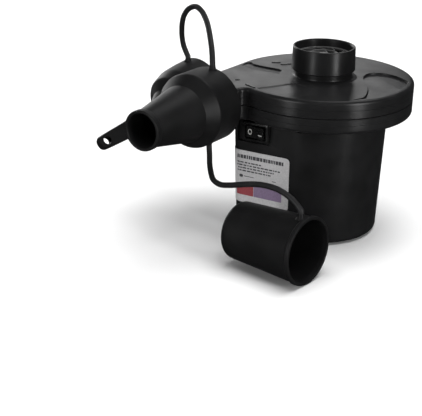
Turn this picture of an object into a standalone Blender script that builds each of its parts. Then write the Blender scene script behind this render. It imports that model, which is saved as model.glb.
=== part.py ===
"""Electric air mattress pump with three push-on nozzles held by soft tethers.

The pump's axis is Z through the origin, which is the middle of the base on the
ground.  The outlet port points along -Y.  Sizes in the named values are in
millimetres and MM turns them into metres.
"""

import math

import bmesh
import bpy
from mathutils import Matrix, Vector

MM = 0.001
GAP = 0.3

# Blower casing
DISC_R = 52.2
DISC_TOP = 91.1
DISC_BOTTOM = 72.6
SPLIT_Z = 81.2
SPOUT_X = -52.4
SPOUT_INNER_X = -24.4
SPOUT_END_Y = -54.2
SPOUT_FILLET = 3.4
LOWER_WALL = 1.6
LOWER_EDGE = 1.9
COVER_WALL = 2.4
COVER_EDGE = 2.7
SPIRAL_START = 105
SCREW_ANGLES = (20, 100, 160, 285)
SCREW_CIRCLE_R = 44.6
DUCT_MARGIN = 2.6
DUCT_HALF_HEIGHT = 6.2

# Three shallow recesses in the cover, turned together about the pump's axis
RELIEF_TURN = math.radians(28.4)
RIGHT_RECESS = 1.3
FRONT_RECESS = 1.6
LEFT_RECESS = 0.8

# Outlet port and inlet collar
PORT_R = 16.9
PORT_X = -38.4
PORT_Z = 81.2
PORT_END_Y = -73.4
COLLAR_TOP = 108.6
GRILLE_LOW = 102.9
GRILLE_HIGH = 104.4
GRILLE_BLADES = 8

# Motor housing
BODY_TOP_R = 38.6
BODY_BASE_R = 36.4
BODY_BASE_Z = 1.2
BODY_TOP_Z = DISC_BOTTOM - GAP
BODY_WALL = 2.2
BODY_CORNER = 6.0
BODY_FLOOR_EDGE = 2.0
PANEL_TURN = math.radians(6.0)
PAD_R = 30.0
VENT_ANGLES = (54, 66, 78, 102, 114, 126)
VENT_SIZE = (12.0, 1.8, 22.0)
VENT_PLACE = (37.0, 0.0, 46.0)
GLAND_PLACE = (0.0, 33.0, 14.0)
GLAND_HOLE_R = 5.5
CORD_SLOT = (5.8, 3.7)

# Switch and label on the flat panel, along the panel from the pump's axis and up
SWITCH_ALONG = -22.2
SWITCH_Z = 64.0
SWITCH_WINDOW = (13.8, 9.0)
SWITCH_BEZEL = (16.6, 11.6, 1.5)
SWITCH_CASE = (13.2, 8.4, 12.6)
TERMINAL_SIZE = (0.8, 4.8, 5.8)
TERMINAL_ALONG = 4.0
ROCKER_HALF = 5.7
ROCKER_HALF_HEIGHT = 3.6
ROCKER_PIVOT = -0.4
ROCKER_REST = math.radians(9.0)
LABEL_Z = (19.2, 51.4)
LABEL_START = -1.2
LABEL_RETURN = 7.0
LABEL_LIFT = 0.15
LABEL_THICK = 0.35

# Motor and rotor
CAN_R = 18.5
CAN_BOTTOM = 30.0
CAN_TOP = 67.0
SHAFT_R = 1.5
SHAFT_BOTTOM = 23.5
SHAFT_TOP = 86.2
ROTOR_BORE = SHAFT_R + GAP
ROTOR_POLES = 5
MOTOR_SCREW_X = 11.0
PLATE_R = 24.6
IMPELLER_R = 41.0
IMPELLER_HUB_R = 9.8
IMPELLER_BLADES = 11
BLADE_THICK = 1.2
BLADE_SWEEP = -46

# Nozzles, measured along each nozzle's own axis from the rear of its collar
MEDIUM_REAR = (PORT_X, -57.6, PORT_Z)
SMALL_REAR = (-75.5, -12.5, 71.4)
SMALL_AIM = (-0.1725, -0.9655, -0.1950)
LARGE_RIM = (39.6, -76.9, 19.3)
LARGE_AIM = (0.9947, -0.0987, 0.0290)
TONGUE_THICK = 4.2
TONGUE_ROLL = math.radians(38.0)
CROSS_HOLE_R = 2.5
CROSS_HOLE_ALONG = 77.8

# Tethers and the lugs that they end on
LUG_R = 2.5
MEDIUM_UPPER_LUG = (-35.4, -60.5)
MEDIUM_LOWER_LUG = (-36.4, -60.8)
SMALL_LUG = (-80.1, -21.3)
LARGE_LUG = (34.8, -78.8)
TETHER_R = 1.6
TETHER_SPACING = 6.0
UPPER_TETHER = [
    (*SMALL_LUG, 91.9),
    (*SMALL_LUG, 93.4),
    (-81.6, -21.5, 96.2),
    (-82.9, -22.2, 100.1),
    (-83.0, -23.5, 104.9),
    (-82.1, -25.1, 110.0),
    (-80.3, -27.1, 115.1),
    (-77.5, -29.0, 120.2),
    (-73.1, -30.6, 124.7),
    (-67.0, -32.4, 127.0),
    (-60.6, -35.7, 125.9),
    (-55.0, -39.9, 123.5),
    (-50.2, -44.3, 120.9),
    (-46.0, -48.7, 118.1),
    (-42.4, -52.6, 115.2),
    (-39.4, -55.8, 112.1),
    (-37.1, -58.4, 108.7),
    (*MEDIUM_UPPER_LUG, 105.4),
    (*MEDIUM_UPPER_LUG, 103.9),
]
LOWER_TETHER = [
    (*MEDIUM_LOWER_LUG, 58.3),
    (*MEDIUM_LOWER_LUG, 56.8),
    (-34.9, -62.4, 52.9),
    (-32.7, -65.3, 48.9),
    (-29.8, -68.2, 45.3),
    (-26.1, -70.9, 42.4),
    (-20.7, -72.1, 41.3),
    (-15.0, -72.5, 42.4),
    (-9.2, -72.9, 44.1),
    (-3.5, -73.5, 46.0),
    (2.2, -74.1, 47.6),
    (7.9, -74.8, 48.8),
    (13.5, -75.6, 49.4),
    (18.8, -76.3, 49.3),
    (23.8, -77.1, 48.3),
    (28.3, -77.8, 46.7),
    (32.4, -78.5, 44.2),
    (*LARGE_LUG, 42.2),
    (*LARGE_LUG, 40.7),
]

# Leads from the switch terminals to the rectifier board
LEAD_R = 0.8
LEAD_SPACING = 4.0
LEAD_RED = [
    (-16.9, -19.4, 62.6),
    (-17.4, -17.6, 58.0),
    (-20.0, -16.4, 48.0),
    (-20.5, -15.6, 34.0),
    (-17.5, -13.2, 24.6),
    (-12.0, -9.0, 20.0),
    (-10.2, -8.0, 15.0),
    (-10.0, -8.6, 7.8),
]
LEAD_BLACK = [
    (-24.6, -18.6, 62.6),
    (-25.4, -16.8, 57.0),
    (-27.2, -14.0, 45.0),
    (-27.6, -9.0, 30.0),
    (-25.6, -6.0, 18.0),
    (-23.4, -6.4, 12.0),
    (-23.0, -7.4, 7.8),
]

MATERIALS = {
    "black_plastic": ((0.012, 0.012, 0.013), 0.42, 0.0),
    "soft_plastic": ((0.010, 0.010, 0.011), 0.5, 0.0),
    "label_silver": ((0.30, 0.30, 0.31), 0.35, 0.0),
    "steel": ((0.55, 0.55, 0.56), 0.3, 1.0),
    "brass": ((0.60, 0.42, 0.18), 0.3, 1.0),
    "copper": ((0.60, 0.25, 0.12), 0.35, 1.0),
    "magnet": ((0.06, 0.06, 0.065), 0.6, 0.0),
    "carbon": ((0.03, 0.03, 0.03), 0.7, 0.0),
    "board_green": ((0.02, 0.16, 0.07), 0.5, 0.0),
    "rubber": ((0.015, 0.015, 0.015), 0.85, 0.0),
    "white_plastic": ((0.70, 0.69, 0.66), 0.45, 0.0),
    "wire_red": ((0.45, 0.02, 0.02), 0.5, 0.0),
    "wire_black": ((0.02, 0.02, 0.02), 0.5, 0.0),
}


# ---------------------------------------------------------------- scene helpers


def clear_scene():
    for old in list(bpy.data.objects):
        bpy.data.objects.remove(old, do_unlink=True)


def new_collection(name, hidden=False):
    made = bpy.data.collections.new(name)
    bpy.context.scene.collection.children.link(made)
    made.hide_render = hidden
    return made


def material_named(name):
    found = bpy.data.materials.get(name)
    if found:
        return found
    colour, roughness, metallic = MATERIALS[name]
    made = bpy.data.materials.new(name)
    made.use_nodes = True
    shader = made.node_tree.nodes["Principled BSDF"]
    shader.inputs["Base Color"].default_value = (*colour, 1.0)
    shader.inputs["Roughness"].default_value = roughness
    shader.inputs["Metallic"].default_value = metallic
    return made


def add_object(name, data, material, placement=None):
    made = bpy.data.objects.new(name, data)
    if material:
        data.materials.append(material_named(material))
        PARTS.objects.link(made)
    else:
        made.hide_render = True
        made.display_type = "WIRE"
        CUTTERS.objects.link(made)
    if placement is not None:
        made.matrix_world = placement
    return made


def metres(point):
    return Vector(point) * MM


def at(point):
    return Matrix.Translation(metres(point))


def aimed(point, direction):
    """A placement at point whose local +Z runs along direction."""
    turn = Vector(direction).normalized().to_track_quat("Z", "Y")
    return at(point) @ turn.to_matrix().to_4x4()


def smooth(mesh, angle=35.0):
    mesh.shade_smooth()
    mesh.set_sharp_from_angle(angle=math.radians(angle))


# ---------------------------------------------------------------- shape helpers


def turned(name, profile, material, placement=None, steps=32, ring=True):
    """Turns (radius, height) points round local Z.  They run down the outer side."""
    mesh = bpy.data.meshes.new(name)
    points = [(radius * MM, 0.0, height * MM) for radius, height in profile]
    edges = [(i, i + 1) for i in range(len(points) - 1)]
    if ring:
        edges.append((len(points) - 1, 0))
    mesh.from_pydata(points, edges, [])
    made = add_object(name, mesh, material, placement)
    screw = made.modifiers.new("Turn", "SCREW")
    screw.axis = "Z"
    screw.angle = math.tau
    screw.steps = steps
    screw.render_steps = steps
    screw.use_merge_vertices = True
    screw.merge_threshold = 0.00001
    screw.use_smooth_shade = True
    return made


def flat_curve(name, outlines, low, high, material, placement=None):
    """Fills flat outlines, the outer one first, and gives them the height low to high."""
    curve = bpy.data.curves.new(name, "CURVE")
    curve.dimensions = "2D"
    curve.fill_mode = "BOTH"
    curve.extrude = (high - low) / 2 * MM
    for outline in outlines:
        spline = curve.splines.new("POLY")
        spline.points.add(len(outline) - 1)
        for point, (x, y) in zip(spline.points, outline):
            point.co = (x * MM, y * MM, 0.0, 1.0)
        spline.use_cyclic_u = True
    lift = at((0, 0, (low + high) / 2))
    return add_object(name, curve, material, (placement or Matrix()) @ lift)


def tube(name, points, radius, material, sides=2):
    curve = bpy.data.curves.new(name, "CURVE")
    curve.dimensions = "3D"
    curve.bevel_depth = radius * MM
    curve.bevel_resolution = sides
    curve.use_fill_caps = True
    spline = curve.splines.new("POLY")
    spline.points.add(len(points) - 1)
    for point, place in zip(spline.points, points):
        point.co = (*metres(place), 1.0)
    return add_object(name, curve, material)


def as_mesh(curve_object):
    """Replaces a curve object by a mesh object with its caps welded."""
    bpy.context.view_layer.update()
    graph = bpy.context.evaluated_depsgraph_get()
    mesh = bpy.data.meshes.new_from_object(curve_object.evaluated_get(graph))
    work = bmesh.new()
    work.from_mesh(mesh)
    bmesh.ops.remove_doubles(work, verts=work.verts, dist=0.000001)
    bmesh.ops.recalc_face_normals(work, faces=work.faces)
    work.to_mesh(mesh)
    work.free()
    name = curve_object.name
    placement = curve_object.matrix_world.copy()
    home = curve_object.users_collection[0]
    hidden = curve_object.hide_render
    bpy.data.objects.remove(curve_object, do_unlink=True)
    made = bpy.data.objects.new(name, mesh)
    home.objects.link(made)
    made.hide_render = hidden
    made.display_type = "WIRE" if hidden else "TEXTURED"
    made.matrix_world = placement
    return made


def prism(name, outlines, low, high, material, placement=None):
    return as_mesh(flat_curve(name, outlines, low, high, material, placement))


def box(name, size, material, placement=None):
    mesh = bpy.data.meshes.new(name)
    work = bmesh.new()
    bmesh.ops.create_cube(work, size=1.0)
    bmesh.ops.scale(work, vec=metres(size), verts=work.verts)
    work.to_mesh(mesh)
    work.free()
    return add_object(name, mesh, material, placement)


def cylinder(name, radius, low, high, material, placement=None, sides=24):
    mesh = bpy.data.meshes.new(name)
    work = bmesh.new()
    bmesh.ops.create_cone(
        work,
        cap_ends=True,
        segments=sides,
        radius1=radius * MM,
        radius2=radius * MM,
        depth=(high - low) * MM,
    )
    bmesh.ops.translate(work, vec=metres((0, 0, (low + high) / 2)), verts=work.verts)
    work.to_mesh(mesh)
    work.free()
    return add_object(name, mesh, material, placement)


def combine(target, other, operation):
    step = target.modifiers.new(f"{operation} {other.name}", "BOOLEAN")
    step.operation = operation
    step.object = other
    return target


def cut(target, cutter):
    return combine(target, cutter, "DIFFERENCE")


def join(target, extra):
    return combine(target, extra, "UNION")


def rounded(target, width, segments=2, angle=40.0):
    step = target.modifiers.new("Rounded edges", "BEVEL")
    step.width = width * MM
    step.segments = segments
    step.limit_method = "ANGLE"
    step.angle_limit = math.radians(angle)
    return target


def tray(name, floor, rim, floor_z, rim_z, wall, edge, material):
    """A shell that is closed at floor_z and open at rim_z, with a rounded floor edge."""
    work = bmesh.new()
    corners = [work.verts.new(metres((x, y, floor_z))) for x, y in floor]
    base = work.faces.new(corners)
    raised = bmesh.ops.extrude_edge_only(work, edges=base.edges[:])["geom"]
    upper = {v for v in raised if isinstance(v, bmesh.types.BMVert)}
    partners = {}
    for edge_up in work.edges:
        ends = [v in upper for v in edge_up.verts]
        if ends[0] != ends[1]:
            low, high = edge_up.verts if ends[1] else reversed(edge_up.verts)
            partners[low] = high
    for corner, (x, y) in zip(corners, rim):
        partners[corner].co = metres((x, y, rim_z))
    bmesh.ops.recalc_face_normals(work, faces=work.faces)
    work.normal_update()
    outward = -1 if rim_z > floor_z else 1
    if base.normal.z * outward < 0:
        bmesh.ops.reverse_faces(work, faces=work.faces)
        work.normal_update()
    bmesh.ops.bevel(
        work,
        geom=base.edges[:],
        offset=edge * MM,
        segments=3,
        profile=0.5,
        affect="EDGES",
    )
    mesh = bpy.data.meshes.new(name)
    work.to_mesh(mesh)
    work.free()
    smooth(mesh)
    made = add_object(name, mesh, material)
    shell = made.modifiers.new("Wall", "SOLIDIFY")
    shell.thickness = wall * MM
    shell.offset = -1.0
    shell.use_even_offset = True
    return made


# ---------------------------------------------------------------- outlines


def arc(centre, radius, start, end, count):
    """Points on an arc, with the angles in degrees and both ends included."""
    points = []
    for i in range(count):
        angle = math.radians(start + (end - start) * i / (count - 1))
        x = centre[0] + radius * math.cos(angle)
        y = centre[1] + radius * math.sin(angle)
        points.append((x, y))
    return points


def body_outline(radius):
    """A circle with one square corner, towards -X -Y, turned with the panel."""
    inset = radius - BODY_CORNER
    points = arc((0, 0), radius, -90, 180, 34)
    points += arc((-inset, -inset), BODY_CORNER, 180, 270, 6)
    turn = Matrix.Rotation(PANEL_TURN, 2)
    return [tuple(turn @ Vector(point)) for point in points]


def casing_outline(inset):
    """The blower's plan: a circle that widens into the spout along -Y."""
    radius = DISC_R - inset
    wall_x = SPOUT_X + inset
    inner_x = SPOUT_INNER_X - inset
    fillet = SPOUT_FILLET + inset
    reach = radius + fillet
    fillet_x = inner_x + fillet
    fillet_y = -math.sqrt(reach**2 - fillet_x**2)
    meet = math.degrees(math.atan2(-fillet_y, -fillet_x))
    points = arc((0, 0), radius, meet - 180, SPIRAL_START, 40)
    spiral_steps = 8
    for i in range(1, spiral_steps + 1):
        share = i / spiral_steps
        swell = share * share * (3 - 2 * share)
        angle = math.radians(SPIRAL_START + (180 - SPIRAL_START) * share)
        spiral = radius + (-wall_x - radius) * swell
        points.append((spiral * math.cos(angle), spiral * math.sin(angle)))
    points.append((wall_x, SPOUT_END_Y + inset))
    points.append((inner_x, SPOUT_END_Y + inset))
    points += arc((fillet_x, fillet_y), fillet, 180, meet, 5)[:-1]
    return points


def ring_sector(inner, outer, middle, half_angle, count):
    """A sector of a ring, as an outline."""
    far = arc((0, 0), outer, middle - half_angle, middle + half_angle, count)
    near = arc((0, 0), inner, middle + half_angle, middle - half_angle, count)
    return far + near


def swept_window(inner, outer, start, width, sweep, count=6):
    """A window whose two long sides curve with the radius, like a fan guard's."""
    leading = []
    trailing = []
    for i in range(count):
        share = i / (count - 1)
        radius = inner + (outer - inner) * share
        angle = start + sweep * share
        for side, offset in ((leading, 0.0), (trailing, width)):
            turn = math.radians(angle + offset)
            side.append((radius * math.cos(turn), radius * math.sin(turn)))
    return leading + trailing[::-1]


def panel_place(along, height, out=0.0):
    """A placement on the flat panel: local X runs along it, Y up, Z outwards."""
    slope = (BODY_TOP_R - BODY_BASE_R) / (BODY_TOP_Z - BODY_BASE_Z)
    distance = BODY_BASE_R + slope * (height - BODY_BASE_Z)
    lean = math.atan(slope)
    turned_frame = Matrix.Rotation(PANEL_TURN, 4, "Z")
    spot = at((along, -distance, height))
    stand = Matrix.Rotation(math.radians(90) + lean, 4, "X")
    return turned_frame @ spot @ stand @ at((0, 0, out))


def smooth_route(points, spacing):
    """Points of a Catmull-Rom curve through the route, about spacing apart."""
    line = [Vector(point) for point in points]
    line = [2 * line[0] - line[1], *line, 2 * line[-1] - line[-2]]
    dense = []
    for a, b, c, d in zip(line, line[1:], line[2:], line[3:]):
        for i in range(12):
            t = i / 12
            lead = 2 * b + (c - a) * t + (2 * a - 5 * b + 4 * c - d) * t * t
            dense.append((lead + (3 * b - a - 3 * c + d) * t**3) / 2)
    dense.append(line[-2])
    lengths = [0.0]
    for here, there in zip(dense, dense[1:]):
        lengths.append(lengths[-1] + (there - here).length)
    count = round(lengths[-1] / spacing)
    route = []
    j = 0
    for i in range(count + 1):
        goal = lengths[-1] * i / count
        while j < len(dense) - 2 and lengths[j + 1] < goal:
            j += 1
        share = (goal - lengths[j]) / (lengths[j + 1] - lengths[j])
        route.append(dense[j].lerp(dense[j + 1], share))
    return route


# ---------------------------------------------------------------- motor housing


def base_pad():
    pad = cylinder("base_pad", PAD_R, 0.0, BODY_BASE_Z - GAP, "rubber", sides=40)
    rounded(pad, 0.3, 1)


def motor_housing():
    shell = tray(
        "motor_housing",
        body_outline(BODY_BASE_R),
        body_outline(BODY_TOP_R),
        BODY_BASE_Z,
        BODY_TOP_Z,
        BODY_WALL,
        BODY_FLOOR_EDGE,
        "black_plastic",
    )
    panel = panel_place(SWITCH_ALONG, SWITCH_Z)
    cut(shell, box("cut_switch", (*SWITCH_WINDOW, 16.0), None, panel))
    hole = cylinder("cut_gland", GLAND_HOLE_R, -6.0, 12.0, None, aimed(GLAND_PLACE, (0, 1, 0)))
    cut(shell, hole)
    for number, angle in enumerate(VENT_ANGLES):
        turn = Matrix.Rotation(math.radians(angle), 4, "Z")
        cut(shell, box(f"cut_vent_{number}", VENT_SIZE, None, turn @ at(VENT_PLACE)))


def cord_gland():
    """A strain relief with a slot for flat twin cord."""
    profile = [
        (0, 17.0),
        (4.4, 17.0),
        (5.2, 6.2),
        (6.9, 5.6),
        (6.9, 4.4),
        (5.2, 4.4),
        (5.2, 0.5),
        (6.9, 0.5),
        (6.9, -1.3),
        (0, -1.3),
    ]
    place = aimed(GLAND_PLACE, (0, 1, 0))
    gland = turned("cord_gland", profile, "rubber", place, 20, False)
    cut(gland, box("cut_cord_slot", (*CORD_SLOT, 60.0), None, place))


def label_plate():
    """A thin label on the flat panel that carries on round its corner."""
    work = bmesh.new()
    rows = []
    for level in LABEL_Z:
        share = (level - BODY_BASE_Z) / (BODY_TOP_Z - BODY_BASE_Z)
        radius = BODY_BASE_R + (BODY_TOP_R - BODY_BASE_R) * share + LABEL_LIFT
        inset = radius - BODY_CORNER
        path = [(LABEL_START, -radius), *arc((-inset, -inset), BODY_CORNER, 270, 180, 7)]
        path.append((-radius, -inset + LABEL_RETURN))
        turn = Matrix.Rotation(PANEL_TURN, 2)
        spots = [turn @ Vector(point) for point in path]
        rows.append([work.verts.new(metres((x, y, level))) for x, y in spots])
    for i in range(len(rows[0]) - 1):
        work.faces.new((rows[0][i + 1], rows[0][i], rows[1][i], rows[1][i + 1]))
    mesh = bpy.data.meshes.new("label_plate")
    work.to_mesh(mesh)
    work.free()
    made = add_object("label_plate", mesh, "label_silver")
    sheet = made.modifiers.new("Sheet", "SOLIDIFY")
    sheet.thickness = LABEL_THICK * MM
    sheet.offset = 1.0
    sheet.use_even_offset = True


# ---------------------------------------------------------------- switch


def switch_parts():
    place = panel_place(SWITCH_ALONG, SWITCH_Z)
    frame = box("switch_bezel", SWITCH_BEZEL, "soft_plastic", place @ at((0, 0, 1.2)))
    cut(frame, box("cut_bezel", (*SWITCH_WINDOW, 6.0), None, place))
    rounded(frame, 0.5)
    case = box("switch_body", SWITCH_CASE, "soft_plastic", place @ at((0, 0, -6.4)))
    cut(case, box("cut_switch_body", (12.5, 7.8, 8.0), None, place @ at((0, 0, -0.2))))
    for name, side in (("switch_terminal_left", -1), ("switch_terminal_right", 1)):
        spot = place @ at((TERMINAL_ALONG * side, 0, -15.9))
        box(name, TERMINAL_SIZE, "brass", spot)
    rocker(place @ at((0, 0, ROCKER_PIVOT)))


def rocker(pivot):
    """A rocker under a hinge empty, tipped so that its left end is pressed in."""
    hinge = bpy.data.objects.new("rocker_hinge", None)
    PARTS.objects.link(hinge)
    hinge.matrix_world = pivot @ Matrix.Rotation(-ROCKER_REST, 4, "Y")
    outline = [(0.0, 1.9), (-ROCKER_HALF, 2.9), (-ROCKER_HALF, 0.2), (-3.6, -2.6)]
    outline += [(3.6, -2.6), (ROCKER_HALF, 0.2), (ROCKER_HALF, 2.9)]
    button = prism("rocker", [outline], -ROCKER_HALF_HEIGHT, ROCKER_HALF_HEIGHT, "soft_plastic")
    rounded(button, 0.35, 2, 25)
    bpy.context.view_layer.update()
    button.parent = hinge
    button.matrix_world = hinge.matrix_world @ Matrix.Rotation(math.radians(90), 4, "X")


# ---------------------------------------------------------------- blower casing


def duct_cutter(name):
    low = (SPOUT_X + DUCT_MARGIN, -58.0, PORT_Z - DUCT_HALF_HEIGHT)
    high = (SPOUT_INNER_X - DUCT_MARGIN, -47.0, PORT_Z + DUCT_HALF_HEIGHT)
    size = [b - a for a, b in zip(low, high)]
    middle = [(a + b) / 2 for a, b in zip(low, high)]
    return box(name, size, None, at(middle))


def screw_spots():
    for angle in SCREW_ANGLES:
        turn = math.radians(angle)
        yield angle, (SCREW_CIRCLE_R * math.cos(turn), SCREW_CIRCLE_R * math.sin(turn))


def volute_lower():
    plan = casing_outline(0.0)
    shell = tray(
        "volute_lower",
        plan,
        plan,
        DISC_BOTTOM,
        SPLIT_Z - GAP / 2,
        LOWER_WALL,
        LOWER_EDGE,
        "black_plastic",
    )
    cut(shell, duct_cutter("cut_duct_lower"))
    cut(shell, cylinder("cut_shaft_hole", 6.0, 70.0, 76.0, None))
    for angle, (x, y) in screw_spots():
        cut(shell, cylinder(f"cut_lower_{angle}", 1.7, 70.0, 76.0, None, at((x, y, 0)), 12))


def swirl_panels():
    """Plan outlines and depths of the recesses that step down round the inlet."""
    right = arc((0, 0), 49.0, 0, -58, 9)
    right += [(24.4, -24.0), (24.0, -4.0), (24.6, 8.0), (27.6, 13.4)]
    right += [(32.4, 15.6), (38.0, 13.6), (43.6, 8.2)]
    front = [(14.6, -20.5), (15.4, -38.0), *arc((0, 0), 48.2, -76, -134, 8)]
    front += [(-18.4, -19.8), *arc((0, 0), 25.0, -126, -66, 5)]
    left = [(-33.4, -27.6), *arc((0, 0), 48.6, -152, -210, 8)]
    left += [(-35.2, 19.4), (-30.2, 15.0), (-24.2, 11.8), *arc((0, 0), 25.0, 162, 220, 6)]
    return (right, RIGHT_RECESS), (front, FRONT_RECESS), (left, LEFT_RECESS)


def top_cover():
    plan = casing_outline(0.0)
    shell = tray(
        "top_cover",
        plan,
        plan,
        DISC_TOP,
        SPLIT_Z + GAP / 2,
        COVER_WALL,
        COVER_EDGE,
        "black_plastic",
    )
    for angle, (x, y) in screw_spots():
        join(shell, cylinder(f"boss_{angle}", 2.8, 75.0, 89.6, None, at((x, y, 0)), 16))
        cut(shell, cylinder(f"cut_boss_{angle}", 1.6, 74.0, 82.0, None, at((x, y, 0)), 12))
    cut(shell, duct_cutter("cut_duct_cover"))
    cut(shell, cylinder("cut_inlet", 13.4, 84.0, 96.0, None, sides=32))
    turn = Matrix.Rotation(RELIEF_TURN, 4, "Z")
    for number, (panel, depth) in enumerate(swirl_panels()):
        recess = prism(f"cut_swirl_{number}", [panel], DISC_TOP - depth, DISC_TOP + 4, None, turn)
        cut(shell, recess)


def cover_screws():
    profile = [(0, 80.4), (1.3, 79.6), (1.3, 72.3), (2.5, 72.3)]
    profile += [(2.5, 71.0), (2.1, 70.6), (0, 70.6)]
    for angle, (x, y) in screw_spots():
        turned(f"cover_screw_{angle}", profile, "steel", at((x, y, 0)), steps=12, ring=False)


def outlet_port():
    profile = [
        (0, 56.5),
        (14.4, 56.5),
        (14.6, 73.0),
        (15.0, -PORT_END_Y),
        (16.4, -PORT_END_Y),
        (PORT_R, 72.8),
        (PORT_R, 54.5),
        (0, 54.5),
    ]
    place = aimed((PORT_X, 0, PORT_Z), (0, -1, 0))
    port = turned("outlet_port", profile, "black_plastic", place, 36, False)
    cut(port, duct_cutter("cut_duct_port"))


def inlet_collar():
    profile = [
        (17.6, COLLAR_TOP),
        (17.95, 108.0),
        (18.3, 95.6),
        (18.0, 95.1),
        (16.9, 95.0),
        (16.8, 94.2),
        (18.4, 92.6),
        (21.6, 91.7),
        (21.6, DISC_TOP + GAP),
        (14.3, DISC_TOP + GAP),
        (14.3, GRILLE_LOW - GAP),
        (16.0, GRILLE_LOW - GAP),
        (16.3, 108.2),
        (16.8, COLLAR_TOP),
    ]
    turned("inlet_collar", profile, "black_plastic", steps=40)


def inlet_grille():
    outlines = [arc((0, 0), 15.4, 0, 351, 40)]
    pitch = 360 / GRILLE_BLADES
    for i in range(GRILLE_BLADES):
        outlines.append(swept_window(8.8, 13.8, i * pitch, pitch - 9, 26))
        outlines.append(swept_window(3.6, 7.2, i * pitch - 20, pitch - 17, 20, 4))
    prism("inlet_grille", outlines, GRILLE_LOW, GRILLE_HIGH, "black_plastic")


# ---------------------------------------------------------------- rotor


def impeller():
    profile = [
        (5.2, 82.0),
        (6.6, 78.6),
        (10.0, 77.2),
        (11.0, 85.6),
        (IMPELLER_R, 84.4),
        (IMPELLER_R, 75.2),
        (ROTOR_BORE, 75.2),
        (ROTOR_BORE, 82.0),
    ]
    wheel = turned("impeller", profile, "soft_plastic", steps=44)
    pitch = 360 / IMPELLER_BLADES
    channels = []
    for i in range(IMPELLER_BLADES):
        leading = []
        trailing = []
        for step in range(6):
            share = step / 5
            radius = IMPELLER_HUB_R + (IMPELLER_R + 1.5 - IMPELLER_HUB_R) * share
            half_blade = math.degrees(BLADE_THICK / 2 / radius)
            start = i * pitch + BLADE_SWEEP * share
            leading += arc((0, 0), radius, start + half_blade, start, 2)[:1]
            trailing += arc((0, 0), radius, start + pitch - half_blade, start, 2)[:1]
        channels.append(leading + trailing[::-1])
    cut(wheel, prism("cut_channels", channels, 76.8, 90.0, None))


def rotor():
    cylinder("shaft", SHAFT_R, SHAFT_BOTTOM, SHAFT_TOP, "steel", sides=16)
    impeller()
    nut = [(3.4, 85.3), (3.4, 82.3), (ROTOR_BORE, 82.3), (ROTOR_BORE, 85.3)]
    turned("impeller_nut", nut, "brass", steps=6)
    core = []
    for i in range(ROTOR_POLES):
        middle = i * 360 / ROTOR_POLES
        core += arc((0, 0), 14.2, middle - 29, middle + 29, 6)
        core += arc((0, 0), 8.6, middle + 31, middle + 41, 2)
    prism("armature", [core, arc((0, 0), ROTOR_BORE, 0, 330, 12)], 42.7, 60.0, "steel")
    for name, low in (("winding_lower", 38.4), ("winding_upper", 60.3)):
        coil = [(11.0, low + 4), (12.6, low + 2.8), (12.6, low + 1.2), (11.0, low)]
        coil += [(ROTOR_BORE, low), (ROTOR_BORE, low + 4)]
        turned(name, coil, "copper", steps=20)
    bars = [(4.2, 38.1), (4.2, 31.7), (ROTOR_BORE, 31.7), (ROTOR_BORE, 38.1)]
    turned("commutator", bars, "copper", steps=20)


# ---------------------------------------------------------------- motor


def motor_can():
    profile = [
        (5.8, 70.0),
        (5.8, CAN_TOP),
        (CAN_R - 0.8, CAN_TOP),
        (CAN_R, CAN_TOP - 0.8),
        (CAN_R, CAN_BOTTOM),
        (17.3, CAN_BOTTOM),
        (17.3, 65.6),
        (2.6, 65.6),
        (2.6, 66.6),
        (4.3, 66.6),
        (4.3, 70.0),
    ]
    can = turned("motor_can", profile, "steel", steps=32)
    for side in (-1, 1):
        spot = at((MOTOR_SCREW_X * side, 0, 0))
        cut(can, cylinder(f"cut_can_{side}", 1.6, 64.0, 68.0, None, spot, 12))


def motor_parts():
    motor_can()
    cap = [
        (CAN_R, 29.7),
        (CAN_R, 28.0),
        (5.8, 28.0),
        (5.8, 24.6),
        (2.6, 24.6),
        (2.6, 25.6),
        (4.3, 25.6),
        (4.3, 29.7),
    ]
    turned("motor_end_cap", cap, "white_plastic", steps=28)
    for name, low in (("bearing_lower", 25.9), ("bearing_upper", 66.9)):
        race = [(4.0, low + 2.8), (4.0, low), (ROTOR_BORE, low), (ROTOR_BORE, low + 2.8)]
        turned(name, race, "steel", steps=20)
    for name, middle in (("magnet_right", 0), ("magnet_left", 180)):
        prism(name, [ring_sector(14.9, 17.0, middle, 62, 9)], 40.0, 63.0, "magnet")
    card = [(16.9, 31.4), (16.9, 30.2), (6.0, 30.2), (6.0, 31.4)]
    turned("brush_card", card, "board_green", steps=24)
    for name, side in (("brush_right", 1), ("brush_left", -1)):
        box(name, (5.5, 3.0, 3.2), "carbon", at((side * 7.25, 0, 33.3)))


def motor_mount():
    plate = [(PLATE_R, 69.3), (PLATE_R, 67.4), (6.2, 67.4), (6.2, 69.3)]
    mount = turned("motor_plate", plate, "steel", steps=40)
    screw = [(0, 71.4), (2.2, 71.2), (2.6, 70.6), (2.6, 69.6)]
    screw += [(1.2, 69.6), (1.2, 66.4), (0, 66.0)]
    for name, side in (("motor_screw_left", -1), ("motor_screw_right", 1)):
        spot = at((MOTOR_SCREW_X * side, 0, 0))
        cut(mount, cylinder(f"cut_plate_{side}", 1.6, 66.0, 71.0, None, spot, 12))
        turned(name, screw, "steel", spot, steps=12, ring=False)
    seal = [(PLATE_R, 72.2), (PLATE_R, 69.7), (PLATE_R - 3, 69.7), (PLATE_R - 3, 72.2)]
    turned("seal_ring", seal, "rubber", steps=36)


# ---------------------------------------------------------------- electrics


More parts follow.
